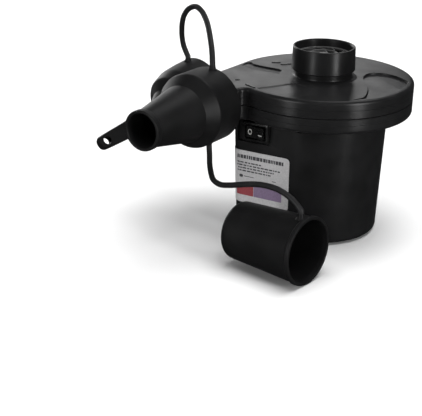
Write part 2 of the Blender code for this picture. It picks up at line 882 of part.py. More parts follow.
def electrics():
    box("rectifier_board", (28.0, 20.0, 1.6), "board_green", at((-14.0, -15.0, 6.6)))
    can = [(0, 20.0), (4.4, 20.0), (4.8, 19.6), (4.8, 7.7), (0, 7.7)]
    turned("capacitor", can, "soft_plastic", at((-21.0, -17.0, 0)), steps=20, ring=False)
    box("rectifier", (10.0, 4.0, 8.0), "soft_plastic", at((-7.5, -18.0, 11.7)))
    tube("lead_red", smooth_route(LEAD_RED, LEAD_SPACING), LEAD_R, "wire_red", sides=1)
    tube("lead_black", smooth_route(LEAD_BLACK, LEAD_SPACING), LEAD_R, "wire_black", sides=1)


# ---------------------------------------------------------------- nozzles and tethers


def lug(name, point, low, high):
    x, y = point
    return cylinder(name, LUG_R, low, high, None, at((x, y, 0)), 16)


def nozzle_medium():
    profile = [
        (9.0, 61.9),
        (10.5, 61.9),
        (10.95, 61.3),
        (10.9, 58.6),
        (10.2, 57.8),
        (15.7, 26.8),
        (16.9, 25.6),
        (19.4, 22.4),
        (20.4, 19.0),
        (20.7, 16.6),
        (20.7, 0.8),
        (20.2, 0.0),
        (17.25, 0.0),
        (17.25, 19.4),
        (14.2, 20.8),
        (13.2, 24.0),
        (8.5, 54.0),
        (8.5, 61.4),
    ]
    place = aimed(MEDIUM_REAR, (0, -1, 0))
    nozzle = turned("nozzle_medium", profile, "black_plastic", place, 36)
    join(nozzle, lug("lug_medium_upper", MEDIUM_UPPER_LUG, 99.6, 103.6))
    join(nozzle, lug("lug_medium_lower", MEDIUM_LOWER_LUG, 58.6, 62.6))


def nozzle_small():
    """The smallest nozzle: its slender end is flattened and drilled across."""
    profile = [
        (0, 83.0),
        (2.3, 82.4),
        (3.8, 80.6),
        (4.3, 77.8),
        (5.0, 62.0),
        (6.2, 46.0),
        (8.2, 36.0),
        (11.4, 31.0),
        (17.4, 26.2),
        (19.4, 22.4),
        (20.4, 17.6),
        (21.0, 10.0),
        (21.0, 0.8),
        (20.5, 0.0),
        (17.5, 0.0),
        (17.5, 19.0),
        (15.0, 22.6),
        (8.6, 28.4),
        (5.4, 36.0),
        (3.4, 50.0),
        (1.5, 66.0),
        (1.5, 77.0),
        (0, 77.0),
    ]
    place = aimed(SMALL_REAR, SMALL_AIM)
    nozzle = turned("nozzle_small", profile, "black_plastic", place, 32, False)
    roll = place @ Matrix.Rotation(TONGUE_ROLL, 4, "Z")
    cross = roll @ at((0, 0, CROSS_HOLE_ALONG)) @ Matrix.Rotation(math.radians(90), 4, "Y")
    cut(nozzle, cylinder("cut_cross_hole", CROSS_HOLE_R, -8.0, 8.0, None, cross, 16))
    for side in (-1, 1):
        flat = roll @ at((side * (TONGUE_THICK / 2 + 3.0), 0, 74.0))
        cut(nozzle, box(f"cut_flat_{side}", (6.0, 14.0, 30.0), None, flat))
    join(nozzle, lug("lug_small", SMALL_LUG, 87.4, 91.6))


def nozzle_large():
    profile = [
        (18.2, 0.0),
        (19.1, -0.5),
        (19.1, -1.7),
        (18.4, -2.6),
        (16.4, -43.0),
        (15.7, -46.2),
        (14.0, -48.0),
        (12.2, -48.6),
        (12.0, -47.0),
        (13.4, -46.0),
        (14.6, -43.0),
        (16.7, -2.6),
        (17.4, 0.0),
    ]
    nozzle = turned("nozzle_large", profile, "black_plastic", aimed(LARGE_RIM, LARGE_AIM), 36)
    join(nozzle, lug("lug_large", LARGE_LUG, 36.2, 40.4))


def tethers():
    """Each tether stands square on the lug at either end."""
    for name, route in (("tether_upper", UPPER_TETHER), ("tether_lower", LOWER_TETHER)):
        start, *middle, end = route
        points = [start, *smooth_route(middle, TETHER_SPACING), end]
        tube(name, points, TETHER_R, "soft_plastic")


# ---------------------------------------------------------------- assembly

clear_scene()
PARTS = new_collection("air_mattress_pump")
CUTTERS = new_collection("cutters", hidden=True)

base_pad()
motor_housing()
cord_gland()
label_plate()
switch_parts()
volute_lower()
top_cover()
cover_screws()
outlet_port()
inlet_collar()
inlet_grille()
rotor()
motor_parts()
motor_mount()
electrics()
nozzle_medium()
nozzle_small()
nozzle_large()
tethers()
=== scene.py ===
"""The visual model of the electric air mattress pump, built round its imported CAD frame.

Sizes are in millimetres, in the frame's own axes, and MM turns them into metres.  Angles
are in degrees unless math.radians stands beside them.  The pump's axis is Z through the
origin, and the outlet points along -Y.
"""

import math
import random

import bmesh
import bpy
import numpy as np
from mathutils import Matrix, Vector
from mathutils.geometry import delaunay_2d_cdt


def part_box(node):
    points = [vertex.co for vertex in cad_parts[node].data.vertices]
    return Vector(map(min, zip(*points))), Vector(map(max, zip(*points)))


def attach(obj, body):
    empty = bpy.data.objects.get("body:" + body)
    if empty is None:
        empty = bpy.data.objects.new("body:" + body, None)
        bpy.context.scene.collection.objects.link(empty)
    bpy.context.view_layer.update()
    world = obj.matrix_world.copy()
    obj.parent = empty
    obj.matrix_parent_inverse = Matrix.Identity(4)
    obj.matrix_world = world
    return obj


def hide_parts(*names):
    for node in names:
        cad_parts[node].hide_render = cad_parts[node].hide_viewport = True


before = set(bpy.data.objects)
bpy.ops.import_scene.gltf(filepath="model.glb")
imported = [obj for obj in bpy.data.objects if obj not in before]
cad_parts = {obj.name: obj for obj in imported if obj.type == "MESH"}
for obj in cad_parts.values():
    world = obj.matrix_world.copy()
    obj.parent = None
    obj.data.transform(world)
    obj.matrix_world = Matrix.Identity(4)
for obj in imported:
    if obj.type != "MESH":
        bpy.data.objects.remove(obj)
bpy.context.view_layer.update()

MM = 0.001


def node_box(node):
    """Lowest and highest corner of a CAD node, in millimetres."""
    low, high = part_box(node)
    return Vector(low) / MM, Vector(high) / MM


# ---------------- sizes

COVER_LOW, COVER_HIGH = node_box("top_cover")
LOWER_LOW, LOWER_HIGH = node_box("volute_lower")
PORT_LOW, PORT_HIGH = node_box("outlet_port")
COLLAR_HIGH = node_box("inlet_collar")[1]
GRILLE_LOW, GRILLE_HIGH = node_box("inlet_grille")
PAD_HIGH = node_box("base_pad")[1]
BODY_LOW, BODY_HIGH = node_box("motor_housing")
SCREW_LOW = node_box("cover_screw_20")[0]

# Blower casing, each half with its wall, its roof or floor and a fine groove round it
DISC_R = COVER_HIGH.y
DISC_TOP = COVER_HIGH.z
DISC_BOTTOM = LOWER_LOW.z
SPLIT_GAP = 0.15
SPLIT_Z = LOWER_HIGH.z + SPLIT_GAP
SPOUT_X = COVER_LOW.x
SPOUT_END_Y = COVER_LOW.y
SPOUT_INNER_X = -22.6
SPOUT_FILLET = 3.8
SPOUT_CORNER = 1.2
RIM_R = 2.0
FLOOR_R = 1.9
CASE_WALL = 2.0
ROOF_THICK = 3.6
FLOOR_THICK = 1.6
COVER_GROOVE_Z = 85.6
LOWER_GROOVE_Z = 77.2
SPIRAL_START = 105
INLET_R = 13.4
SHAFT_HOLE_R = 6.0
SCREW_ANGLES = (20, 100, 160, 285)
SCREW_CIRCLE_R = 44.6

# Outlet port and inlet collar
PORT_R = (PORT_HIGH.x - PORT_LOW.x) / 2
PORT_X = (PORT_HIGH.x + PORT_LOW.x) / 2
PORT_Z = (PORT_HIGH.z + PORT_LOW.z) / 2
PORT_END_Y = PORT_LOW.y
PORT_ROOT_Y = PORT_HIGH.y
DUCT_SIZE = (22.8, 11.0, 12.4)
COLLAR_TOP = COLLAR_HIGH.z
FOOT_R = 19.6
COLLAR_BORE_R = 14.3

# Motor housing
BODY_TOP_R = 38.6
BODY_BASE_R = 36.4
BODY_BASE_Z = BODY_LOW.z
BODY_TOP_Z = BODY_HIGH.z
BODY_CORNER = 6.0
BODY_WALL = 2.2
BODY_EDGE = 2.0
PANEL_TURN = math.radians(6.0)
VENT_ANGLES = (54, 66, 78, 102, 114, 126)
VENT_SIZE = (12.0, 1.8, 22.0)
VENT_PLACE = (37.0, 0.0, 46.0)
GLAND_PLACE = (0.0, 33.0, 14.0)
GLAND_HOLE_R = 5.5

# Switch and label on the flat panel
SWITCH_ALONG = -22.2
SWITCH_Z = 64.0
SWITCH_WINDOW = (13.8, 9.0, 16.0)
POCKET_LEFT = -34.0
POCKET_RIGHT = -17.2
POCKET_RAMP = 5.6
POCKET_LOW = 56.8
POCKET_DEPTH = 1.5
ROCKER_PIVOT = -0.4
ROCKER_REST = math.radians(9.0)
LABEL_Z = (19.2, 51.4)
LABEL_START = -1.2
LABEL_RETURN = 7.0
LABEL_LIFT = 0.2
INK_THICK = 0.02
INK_OUT = LABEL_LIFT + INK_THICK

# Nozzles and tethers; a lug is the (x, y) at which a tether stands on a nozzle
MEDIUM_REAR = (PORT_X, -57.6, PORT_Z)
SMALL_REAR = (-75.5, -12.5, 71.4)
SMALL_AIM = (-0.1725, -0.9655, -0.1950)
LARGE_RIM = (39.6, -76.9, 19.3)
LARGE_AIM = (0.9947, -0.0987, 0.0290)
TONGUE_ROLL = math.radians(38.0)
TONGUE_THICK = 4.2
CROSS_HOLE_R = 2.5
CROSS_HOLE_ALONG = 77.8
MEDIUM_UPPER_LUG = (-35.4, -60.5)
MEDIUM_LOWER_LUG = (-36.4, -60.8)
SMALL_LUG = (-80.1, -21.3)
LARGE_LUG = (34.8, -78.8)
TETHER_R = 1.6

# The tethers' routes, which are the ones in the CAD
UPPER_TETHER = [
    (*SMALL_LUG, 91.9), (*SMALL_LUG, 93.4), (-81.6, -21.5, 96.2), (-82.9, -22.2, 100.1),
    (-83.0, -23.5, 104.9), (-82.1, -25.1, 110.0), (-80.3, -27.1, 115.1),
    (-77.5, -29.0, 120.2), (-73.1, -30.6, 124.7), (-67.0, -32.4, 127.0),
    (-60.6, -35.7, 125.9), (-55.0, -39.9, 123.5), (-50.2, -44.3, 120.9),
    (-46.0, -48.7, 118.1), (-42.4, -52.6, 115.2), (-39.4, -55.8, 112.1),
    (-37.1, -58.4, 108.7), (*MEDIUM_UPPER_LUG, 105.4), (*MEDIUM_UPPER_LUG, 103.9),
]
LOWER_TETHER = [
    (*MEDIUM_LOWER_LUG, 58.3), (*MEDIUM_LOWER_LUG, 56.8), (-34.9, -62.4, 52.9),
    (-32.7, -65.3, 48.9), (-29.8, -68.2, 45.3), (-26.1, -70.9, 42.4), (-20.7, -72.1, 41.3),
    (-15.0, -72.5, 42.4), (-9.2, -72.9, 44.1), (-3.5, -73.5, 46.0), (2.2, -74.1, 47.6),
    (7.9, -74.8, 48.8), (13.5, -75.6, 49.4), (18.8, -76.3, 49.3), (23.8, -77.1, 48.3),
    (28.3, -77.8, 46.7), (32.4, -78.5, 44.2), (*LARGE_LUG, 42.2), (*LARGE_LUG, 40.7),
]

# Camera, from a perspective fit
CAMERA_PLACE = (285.27, -527.84, 257.5)
CAMERA_LOOK = (-0.52067, 0.76102, -0.38697)
CAMERA_RIGHT = (0.82076, 0.57098, 0.01855)
LENS = 91.244

# Mesh making
SHARP = 32
MERGE_GAP = 5e-7
FILL_GAP = 0.0005


# ---------------- helpers


def metres(point):
    return Vector(point) * MM


def at(point):
    """A placement at point, given in millimetres."""
    return Matrix.Translation(metres(point))


def aimed(point, direction):
    """A placement at point whose local +Z runs along direction."""
    turn = Vector(direction).normalized().to_track_quat("Z", "Y")
    return at(point) @ turn.to_matrix().to_4x4()


def turned_by(degrees, axis):
    return Matrix.Rotation(math.radians(degrees), 4, axis)


def polar(radius, angle):
    """The (x, y) point at a radius and an angle from +X."""
    turn = math.radians(angle)
    return radius * math.cos(turn), radius * math.sin(turn)


def arc(centre, radius, start, end, count):
    """Points on an arc, both ends included."""
    points = []
    for i in range(count):
        x, y = polar(radius, start + (end - start) * i / (count - 1))
        points.append((centre[0] + x, centre[1] + y))
    return points


def ring(radius, count):
    return arc((0, 0), radius, 0, 360, count + 1)[:-1]


def filleted(corners, closed=True, steps=7):
    """An outline from (x, y, fillet radius) corners, with its corners rounded."""
    points = []
    count = len(corners)
    for i, (x, y, radius) in enumerate(corners):
        corner = Vector((x, y))
        if radius == 0 or (not closed and i in (0, count - 1)):
            points.append((x, y))
            continue
        before = (Vector(corners[i - 1][:2]) - corner).normalized()
        after = (Vector(corners[(i + 1) % count][:2]) - corner).normalized()
        half = before.angle(after) / 2
        centre = corner + (before + after).normalized() * (radius / math.sin(half))
        start = corner + before * (radius / math.tan(half)) - centre
        end = corner + after * (radius / math.tan(half)) - centre
        sweep = start.angle_signed(end)
        for step in range(steps):
            spoke = start.copy()
            spoke.rotate(Matrix.Rotation(-sweep * step / (steps - 1), 2))
            points.append(tuple(centre + spoke))
    return points


def add_object(name, data, placement=None):
    """A new object in the scene."""
    made = bpy.data.objects.new(name, data)
    bpy.context.scene.collection.objects.link(made)
    if placement is not None:
        made.matrix_world = placement
    return made


def add_mesh(name, work, placement=None, sharp=SHARP):
    """A clean object made of the work, smooth but for edges over the sharp angle."""
    bmesh.ops.remove_doubles(work, verts=work.verts, dist=MERGE_GAP)
    bmesh.ops.recalc_face_normals(work, faces=work.faces)
    mesh = bpy.data.meshes.new(name)
    work.to_mesh(mesh)
    work.free()
    mesh.shade_smooth()
    mesh.set_sharp_from_angle(angle=math.radians(sharp))
    return add_object(name, mesh, placement)


def as_piece(piece, material, body, replaces=()):
    """Makes an object a piece of the model.

    It gets its material, its place is applied to its mesh, it is hung on the empty of the
    body it rides on, and the CAD nodes it stands for are hidden.
    """
    piece.data.materials.clear()
    piece.data.materials.append(MATERIALS[material])
    bpy.context.view_layer.update()
    if piece.type == "MESH":
        piece.data.transform(piece.matrix_world)
        piece.matrix_world = Matrix()
        even = piece.modifiers.new("Even shading", "WEIGHTED_NORMAL")
        even.keep_sharp = True
    bpy.context.view_layer.update()
    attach(piece, body)
    if replaces:
        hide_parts(*replaces)


def lathe(name, corners, placement=None, steps=144, closed=True, fine=7):
    """Turns (radius, height, fillet radius) corners round local Z."""
    profile = filleted(corners, closed, fine)
    work = bmesh.new()
    verts = [work.verts.new((radius * MM, 0.0, height * MM)) for radius, height in profile]
    edges = [work.edges.new(pair) for pair in zip(verts, verts[1:])]
    if closed:
        edges.append(work.edges.new((verts[-1], verts[0])))
    around = {"cent": (0, 0, 0), "axis": (0, 0, 1), "angle": math.tau}
    bmesh.ops.spin(work, geom=verts + edges, steps=steps, **around)
    return add_mesh(name, work, placement)


def ring_edges(first, count):
    """The edges round a closed ring of points, as pairs of their numbers."""
    return [(first + i, first + (i + 1) % count) for i in range(count)]


def skin(work, loops, closed=False):
    """Side faces between loops of (x, y, z) points that match one to one.

    It returns the first and the last ring of vertices.
    """
    rows = [[work.verts.new(metres(point)) for point in loop] for loop in loops]
    above = rows[1:] + rows[:1] if closed else rows[1:]
    for low, high in zip(rows, above):
        for i, j in ring_edges(0, len(low)):
            work.faces.new((low[i], low[j], high[j], high[i]))
    return rows[0], rows[-1]


def loft(name, loops, placement=None, closed=False):
    """A solid with a skin over its loops, or one whose last loop meets its first."""
    work = bmesh.new()
    first, last = skin(work, loops, closed)
    if not closed:
        work.faces.new(first[::-1])
        work.faces.new(last)
    return add_mesh(name, work, placement)


def at_height(outline, height):
    return [(x, y, height) for x, y in outline]


def round_edges(work, edges, size, steps):
    bmesh.ops.bevel(
        work, geom=edges, offset=size * MM, segments=steps, profile=0.5, affect="EDGES"
    )


def plate(name, outline, low, high, placement=None, edge=0.0, steps=4):
    """A flat piece of any outline, with both of its edges rounded by edge."""
    work = bmesh.new()
    base = work.faces.new([work.verts.new(metres((x, y, low))) for x, y in outline])
    raised = bmesh.ops.extrude_face_region(work, geom=[base])["geom"]
    top = [v for v in raised if isinstance(v, bmesh.types.BMVert)]
    bmesh.ops.translate(work, vec=metres((0, 0, high - low)), verts=top)
    bmesh.ops.recalc_face_normals(work, faces=work.faces)
    if edge:
        rims = [e for e in work.edges if abs(e.verts[0].co.z - e.verts[1].co.z) < 1e-9]
        round_edges(work, rims, edge, steps)
    return add_mesh(name, work, placement)


def rounded_box(name, size, radius, placement=None, steps=4):
    work = bmesh.new()
    bmesh.ops.create_cube(work, size=1.0)
    bmesh.ops.scale(work, vec=metres(size), verts=work.verts)
    if radius:
        round_edges(work, work.edges[:], radius, steps)
    return add_mesh(name, work, placement)


def round_rectangle(half_x, half_y, radius):
    corners = [(half_x, half_y), (-half_x, half_y), (-half_x, -half_y), (half_x, -half_y)]
    return filleted([(x, y, radius) for x, y in corners])


def carve(target, cutters, operation="DIFFERENCE"):
    """Cuts the cutters out of target, or joins them to it, and removes them."""
    for cutter in cutters:
        step = target.modifiers.new(cutter.name, "BOOLEAN")
        step.operation = operation
        step.object = cutter
    bpy.context.view_layer.update()
    graph = bpy.context.evaluated_depsgraph_get()
    mesh = bpy.data.meshes.new_from_object(target.evaluated_get(graph))
    target.modifiers.clear()
    target.data = mesh
    for cutter in cutters:
        bpy.data.objects.remove(cutter, do_unlink=True)
    mesh.shade_smooth()
    mesh.set_sharp_from_angle(angle=math.radians(SHARP))


def body_outline(radius, corner=BODY_CORNER):
    """A circle with one square corner, towards -X -Y, turned with the panel."""
    inset = radius - corner
    points = arc((0, 0), radius, -90, 180, 181)
    points += arc((-inset, -inset), corner, 180, 270, 17)[1:-1]
    turn = Matrix.Rotation(PANEL_TURN, 2)
    return [tuple(turn @ Vector(point)) for point in points]


def body_radius(height):
    """How far the tapered housing's wall is from its axis."""
    share = (height - BODY_BASE_Z) / (BODY_TOP_Z - BODY_BASE_Z)
    return BODY_BASE_R + (BODY_TOP_R - BODY_BASE_R) * share


def casing_outline(inset):
    """The blower's plan: a circle that widens into the spout along -Y."""
    radius = DISC_R - inset
    wall_x = SPOUT_X + inset
    inner_x = SPOUT_INNER_X - inset
    end_y = SPOUT_END_Y + inset
    fillet = SPOUT_FILLET + inset
    fillet_x = inner_x + fillet
    fillet_y = -math.sqrt((radius + fillet) ** 2 - fillet_x**2)
    meet = math.degrees(math.atan2(-fillet_y, -fillet_x))
    corner = max(SPOUT_CORNER - inset, 0.05)
    points = arc((0, 0), radius, meet - 180, SPIRAL_START, 168)
    spiral_steps = 40
    for i in range(1, spiral_steps + 1):
        share = i / spiral_steps
        swell = share * share * (3 - 2 * share)
        spiral = radius + (-wall_x - radius) * swell
        points.append(polar(spiral, SPIRAL_START + (180 - SPIRAL_START) * share))
    points += arc((wall_x + corner, end_y + corner), corner, 180, 270, 5)
    points += arc((inner_x - corner, end_y + corner), corner, 270, 360, 5)
    points += arc((fillet_x, fillet_y), fillet, 180, meet, 20)[:-1]
    return points


def panel_place(along, height):
    """A placement on the flat panel: local X runs along it, Y up, Z outwards."""
    slope = (BODY_TOP_R - BODY_BASE_R) / (BODY_TOP_Z - BODY_BASE_Z)
    spot = at((along, -body_radius(height), height))
    stand = Matrix.Rotation(math.radians(90) + math.atan(slope), 4, "X")
    return Matrix.Rotation(PANEL_TURN, 4, "Z") @ spot @ stand


def curve_span(a, b, c, d, steps):
    """Points of a Catmull-Rom curve from b up to c, without c itself."""
    points = []
    for i in range(steps):
        t = i / steps
        lead = 2 * b + (c - a) * t + (2 * a - 5 * b + 4 * c - d) * t * t
        points.append((lead + (3 * b - a - 3 * c + d) * t**3) / 2)
    return points


def smooth_route(points, spacing):
    """Points of a smooth curve through the route, about spacing apart."""
    line = [Vector(point) for point in points]
    line = [2 * line[0] - line[1], *line, 2 * line[-1] - line[-2]]
    dense = []
    for span in zip(line, line[1:], line[2:], line[3:]):
        dense += curve_span(*span, 12)
    dense.append(line[-2])
    lengths = [0.0]
    for here, there in zip(dense, dense[1:]):
        lengths.append(lengths[-1] + (there - here).length)
    count = round(lengths[-1] / spacing)
    route = []
    j = 0
    for i in range(count + 1):
        goal = lengths[-1] * i / count
        while j < len(dense) - 2 and lengths[j + 1] < goal:
            j += 1
        share = (goal - lengths[j]) / (lengths[j + 1] - lengths[j])
        route.append(dense[j].lerp(dense[j + 1], share))
    return route


# ---------------- materials


def shader_of(name, colour, roughness, metallic=0.0, specular=0.5):
    """A new material, with its node tree and its main shader."""
    made = bpy.data.materials.new(name)
    made.use_nodes = True
    tree = made.node_tree
    shader = tree.nodes["Principled BSDF"]
    shader.inputs["Base Color"].default_value = (*colour, 1.0)
    shader.inputs["Roughness"].default_value = roughness
    shader.inputs["Metallic"].default_value = metallic
    shader.inputs["Specular IOR Level"].default_value = specular
    return made, tree, shader


def node(tree, kind, **values):
    """A new shader node, with these values on its sockets."""
    made = tree.nodes.new("ShaderNode" + kind)
    for socket, value in values.items():
        made.inputs[socket.replace("_", " ")].default_value = value
    return made


def noise(tree, size, detail, stretch=(1, 1, 1)):
    """A noise whose features are about size millimetres, in the piece's own space."""
    spot = node(tree, "TexCoord")
    scaled = node(tree, "Mapping", Scale=stretch)
    tree.links.new(spot.outputs["Object"], scaled.inputs["Vector"])
    made = node(tree, "TexNoise", Scale=1 / (size * MM), Detail=detail)
    tree.links.new(scaled.outputs["Vector"], made.inputs["Vector"])
    return made.outputs["Fac"]


def spread(tree, value, low, high):
    """Stretches the middle range of a noise to run from low to high."""
    made = node(tree, "MapRange", From_Min=0.3, From_Max=0.7, To_Min=low, To_Max=high)
    tree.links.new(value, made.inputs["Value"])
    return made.outputs["Result"]


def mottle(tree, shader, value, colour, dark, light):
    """Varies the colour with a noise, from dark to light times itself."""
    made = tree.nodes.new("ShaderNodeMix")
    made.data_type = "RGBA"
    made.inputs["A"].default_value = (*(c * dark for c in colour), 1.0)
    made.inputs["B"].default_value = (*(c * light for c in colour), 1.0)
    tree.links.new(spread(tree, value, 0.0, 1.0), made.inputs["Factor"])
    tree.links.new(made.outputs["Result"], shader.inputs["Base Color"])


def uneven_gloss(tree, shader, value, low, high):
    """Varies the roughness with a noise."""
    tree.links.new(spread(tree, value, low, high), shader.inputs["Roughness"])


def bump(tree, shader, heights):
    """Adds bumps one over the other.  heights holds (value, depth in millimetres)."""
    last = None
    for value, depth in heights:
        made = node(tree, "Bump", Distance=depth * MM, Strength=1.0)
        tree.links.new(value, made.inputs["Height"])
        if last:
            tree.links.new(last, made.inputs["Normal"])
        last = made.outputs["Normal"]
    tree.links.new(last, shader.inputs["Normal"])


def moulded(name, colour, roughness, specular, grain=0.35, depth=0.012, flow=None):
    """Moulded plastic: a fine spark-eroded grain, faint flow marks and uneven gloss."""
    made, tree, shader = shader_of(name, colour, roughness, specular=specular)
    cloud = noise(tree, 14.0, 4.0)
    mottle(tree, shader, cloud, colour, 0.8, 1.25)
    uneven_gloss(tree, shader, cloud, roughness - 0.04, roughness + 0.05)
    heights = [(noise(tree, 9.0, 2.0), 0.05), (noise(tree, grain, 2.0), depth)]
    if flow:
        heights.append((noise(tree, flow, 2.0, (0.02, 0.02, 1.0)), depth * 1.6))
    bump(tree, shader, heights)
    return made


def metal(name, colour, roughness, brushed=(1, 1, 1)):
    """Bare metal whose streaks run along the small numbers of brushed."""
    made, tree, shader = shader_of(name, colour, roughness, metallic=1.0)
    streaks = noise(tree, 0.8, 4.0, brushed)
    uneven_gloss(tree, shader, streaks, roughness - 0.08, roughness + 0.12)
    bump(tree, shader, [(streaks, 0.01)])
    return made


def rubber(name, colour, roughness):
    """Soft rubber: cloudy in colour, with a fine dull skin."""
    made, tree, shader = shader_of(name, colour, roughness, specular=0.3)
    mottle(tree, shader, noise(tree, 6.0, 5.0), colour, 0.75, 1.4)
    bump(tree, shader, [(noise(tree, 0.5, 3.0), 0.02)])
    return made


def printed(name, colour, roughness=0.4):
    """Ink or film on the label: slightly mottled, as printed in dots."""
    made, tree, shader = shader_of(name, colour, roughness, specular=0.35)
    mottle(tree, shader, noise(tree, 0.9, 5.0), colour, 0.86, 1.08)
    bump(tree, shader, [(noise(tree, 3.0, 2.0), 0.02)])
    return made


CASE_BLACK = (0.0085, 0.0085, 0.0088)
NOZZLE_BLACK = (0.0062, 0.0062, 0.0064)

MATERIALS = {
    "case": moulded("case_satin_black", CASE_BLACK, 0.36, 0.26, flow=1.4),
    "cover": moulded("cover_satin_black", CASE_BLACK, 0.33, 0.30, flow=1.1),
    "nozzle": moulded("nozzle_satin_black", NOZZLE_BLACK, 0.48, 0.22, 0.5, 0.015),
    "switch": moulded("switch_black", (0.007, 0.007, 0.007), 0.28, 0.35, 0.6, 0.006),
    "grille": moulded("grille_grey", (0.05, 0.05, 0.05), 0.35, 0.6, 0.6, 0.006),
    "fan": moulded("fan_black", (0.012, 0.012, 0.0125), 0.5, 0.3),
    "white_case": moulded("motor_cap_plastic", (0.62, 0.60, 0.56), 0.45, 0.4),
    "board": moulded("board_green", (0.015, 0.12, 0.05), 0.42, 0.4),
    "tether": rubber("tether_black", (0.011, 0.011, 0.0115), 0.5),
    "rubber": rubber("pad_black", (0.014, 0.014, 0.014), 0.75),
    "lead_red": rubber("lead_red_cover", (0.42, 0.02, 0.02), 0.5),
    "lead_black": rubber("lead_black_cover", (0.02, 0.02, 0.02), 0.5),
    "steel": metal("plain_steel", (0.56, 0.56, 0.57), 0.32, (1, 1, 0.15)),
    "screw": metal("zinc_screw", (0.62, 0.62, 0.60), 0.28),
    "screw_dark": metal("black_screw", (0.03, 0.03, 0.031), 0.42),
    "brass": metal("terminal_brass", (0.62, 0.44, 0.18), 0.3),
    "copper": metal("copper_wire", (0.62, 0.26, 0.13), 0.34, (0.1, 0.1, 4.0)),
    "ferrite": moulded("sintered_grey", (0.05, 0.05, 0.054), 0.62, 0.4),
    "label": printed("label_silver", (0.50, 0.495, 0.50), 0.38),
    "ink": printed("label_dark_ink", (0.05, 0.05, 0.055)),
    "ink_red": printed("label_red_ink", (0.30, 0.05, 0.06)),
    "ink_violet": printed("label_violet_ink", (0.22, 0.16, 0.26)),
    "mark": printed("switch_mark_white", (0.55, 0.55, 0.53), 0.5),
}


# ---------------- blower casing


def wall_loops(profile):
    """Loops of the casing's plan at (inset, height) points."""
    return [at_height(casing_outline(inset), height) for inset, height in profile]


def edge_arc(radius, height, up):
    """(inset, height) points of a rounded edge that ends flat at height."""
    turns = [math.radians(90 * i / 7) for i in range(8)]
    sign = 1 if up else -1
    return [
        (radius * (1 - math.cos(a)), height - sign * radius * (1 - math.sin(a))) for a in turns
    ]


def smooth_loop(knots, spacing=0.7):
    """A closed smooth curve through flat knots, as evenly spaced points."""
    line = [Vector((*knot, 0.0)) for knot in knots]
    line = [line[-1], *line, line[0], line[1]]
    dense = []
    for a, b, c, d in zip(line, line[1:], line[2:], line[3:]):
        dense += curve_span(a, b, c, d, max(2, round((c - b).length / spacing)))
    return [(point.x, point.y) for point in dense]


def line_gap(spots, start, end):
    """The distance of each spot from the nearest of the lines start to end."""
    run = end - start
    rise = spots[:, None, :] - start[None]
    share = np.clip((rise * run).sum(-1) / (run**2).sum(-1), 0, 1)
    return np.linalg.norm(rise - share[..., None] * run, axis=-1).min(axis=1)


def inside_depth(spots, outline):
    """How far each spot lies inside a closed outline, negative outside it."""
    spots = np.asarray(spots)
    start = np.asarray(outline)
    end = np.roll(start, -1, axis=0)
    gap = line_gap(spots, start, end)
    run = end - start
    crosses = (start[None, :, 1] > spots[:, None, 1]) != (end[None, :, 1] > spots[:, None, 1])
    with np.errstate(divide="ignore", invalid="ignore"):
        reach = start[:, 0] + (spots[:, None, 1] - start[:, 1]) / run[:, 1] * run[:, 0]
    inside = (crosses & (spots[:, None, 0] < reach)).sum(axis=1) % 2 == 1
    return np.where(inside, gap, -gap)


def offset_loop(outline, distance):
    """The outline moved inwards by distance."""
    points = [Vector(point) for point in outline]
    moved = []
    for i, point in enumerate(points):
        along = (points[(i + 1) % len(points)] - points[i - 1]).normalized()
        moved.append(point + Vector((-along.y, along.x)) * distance)
    return moved


def relief_panels():
    """The swirl's recesses: each has an outline, a depth, the width of its edge, the
    line of its step, and how far from that line its floor has risen to the top again."""
    right_step = [(44.0, 23.0), (33.1, 25.8), (24.2, 25.9), (18.9, 20.6), (20.0, 11.6)]
    right_step += [(25.6, 3.0), (31.6, -5.6), (36.6, -16.4), (38.6, -25.0), (36.4, -31.2)]
    right = [*right_step[1:], *arc((0, 0), 48.6, -40, 24, 14)]
    left_step = [(-44.0, -3.6), (-38.2, -4.2), (-26.5, -4.0)]
    left = [(-22.8, -6.6), *left_step[::-1], (-47.6, -1.6), *arc((0, 0), 49.8, -176, -122, 9)]
    left += [(-21.6, -43.2), (-15.6, -43.6), (-11.8, -36.2), *arc((0, 0), 24.6, -108, -164, 8)]
    soft_step = [(-16.0, -44.4), (-11.3, -35.8), (-5.8, -24.9)]
    front = [(30.6, -31.0), (26.6, -20.0), *arc((0, 0), 24.2, -42, -96, 8)]
    front += [*soft_step[::-1], *arc((0, 0), 48.2, -108, -52, 9)]
    return (
        (right, 1.2, 0.6, right_step, 34.0),
        (front, 0.5, 1.2, soft_step, 16.0),
        (left, 0.9, 0.6, left_step, 9.0),
    )


def relief_height(spots, panels):
    """Height of the cover's top at each spot, below its highest level."""
    drop = np.zeros(len(spots))
    for outline, depth, width, step, reach in panels:
        share = np.clip(inside_depth(spots, outline) / width, 0, 1)
        line = np.asarray(step)
        left = np.clip(1 - line_gap(spots, line[:-1], line[1:]) / reach, 0, 1)
        drop += depth * share * share * (3 - 2 * share) * left * (2 - left)
    return -drop


def two_rings(rim, hole):
    """The flat points of two rings of vertices, and the edges round them."""
    points = [Vector((v.co.x, v.co.y)) / MM for v in rim + hole]
    return points, ring_edges(0, len(rim)) + ring_edges(len(rim), len(hole))


def faces_between(work, faces, verts, rim, hole):
    """Makes the faces that lie inside the rim and outside the hole."""
    outer, inner = ([tuple(v.co.xy / MM) for v in row] for row in (rim, hole))
    middles = np.array([np.mean([verts[i].co.xy / MM for i in face], axis=0) for face in faces])
    keep = (inside_depth(middles, outer) > 0) & (inside_depth(middles, inner) < 0)
    for face, wanted in zip(faces, keep):
        if wanted:
            work.faces.new([verts[i] for i in face])


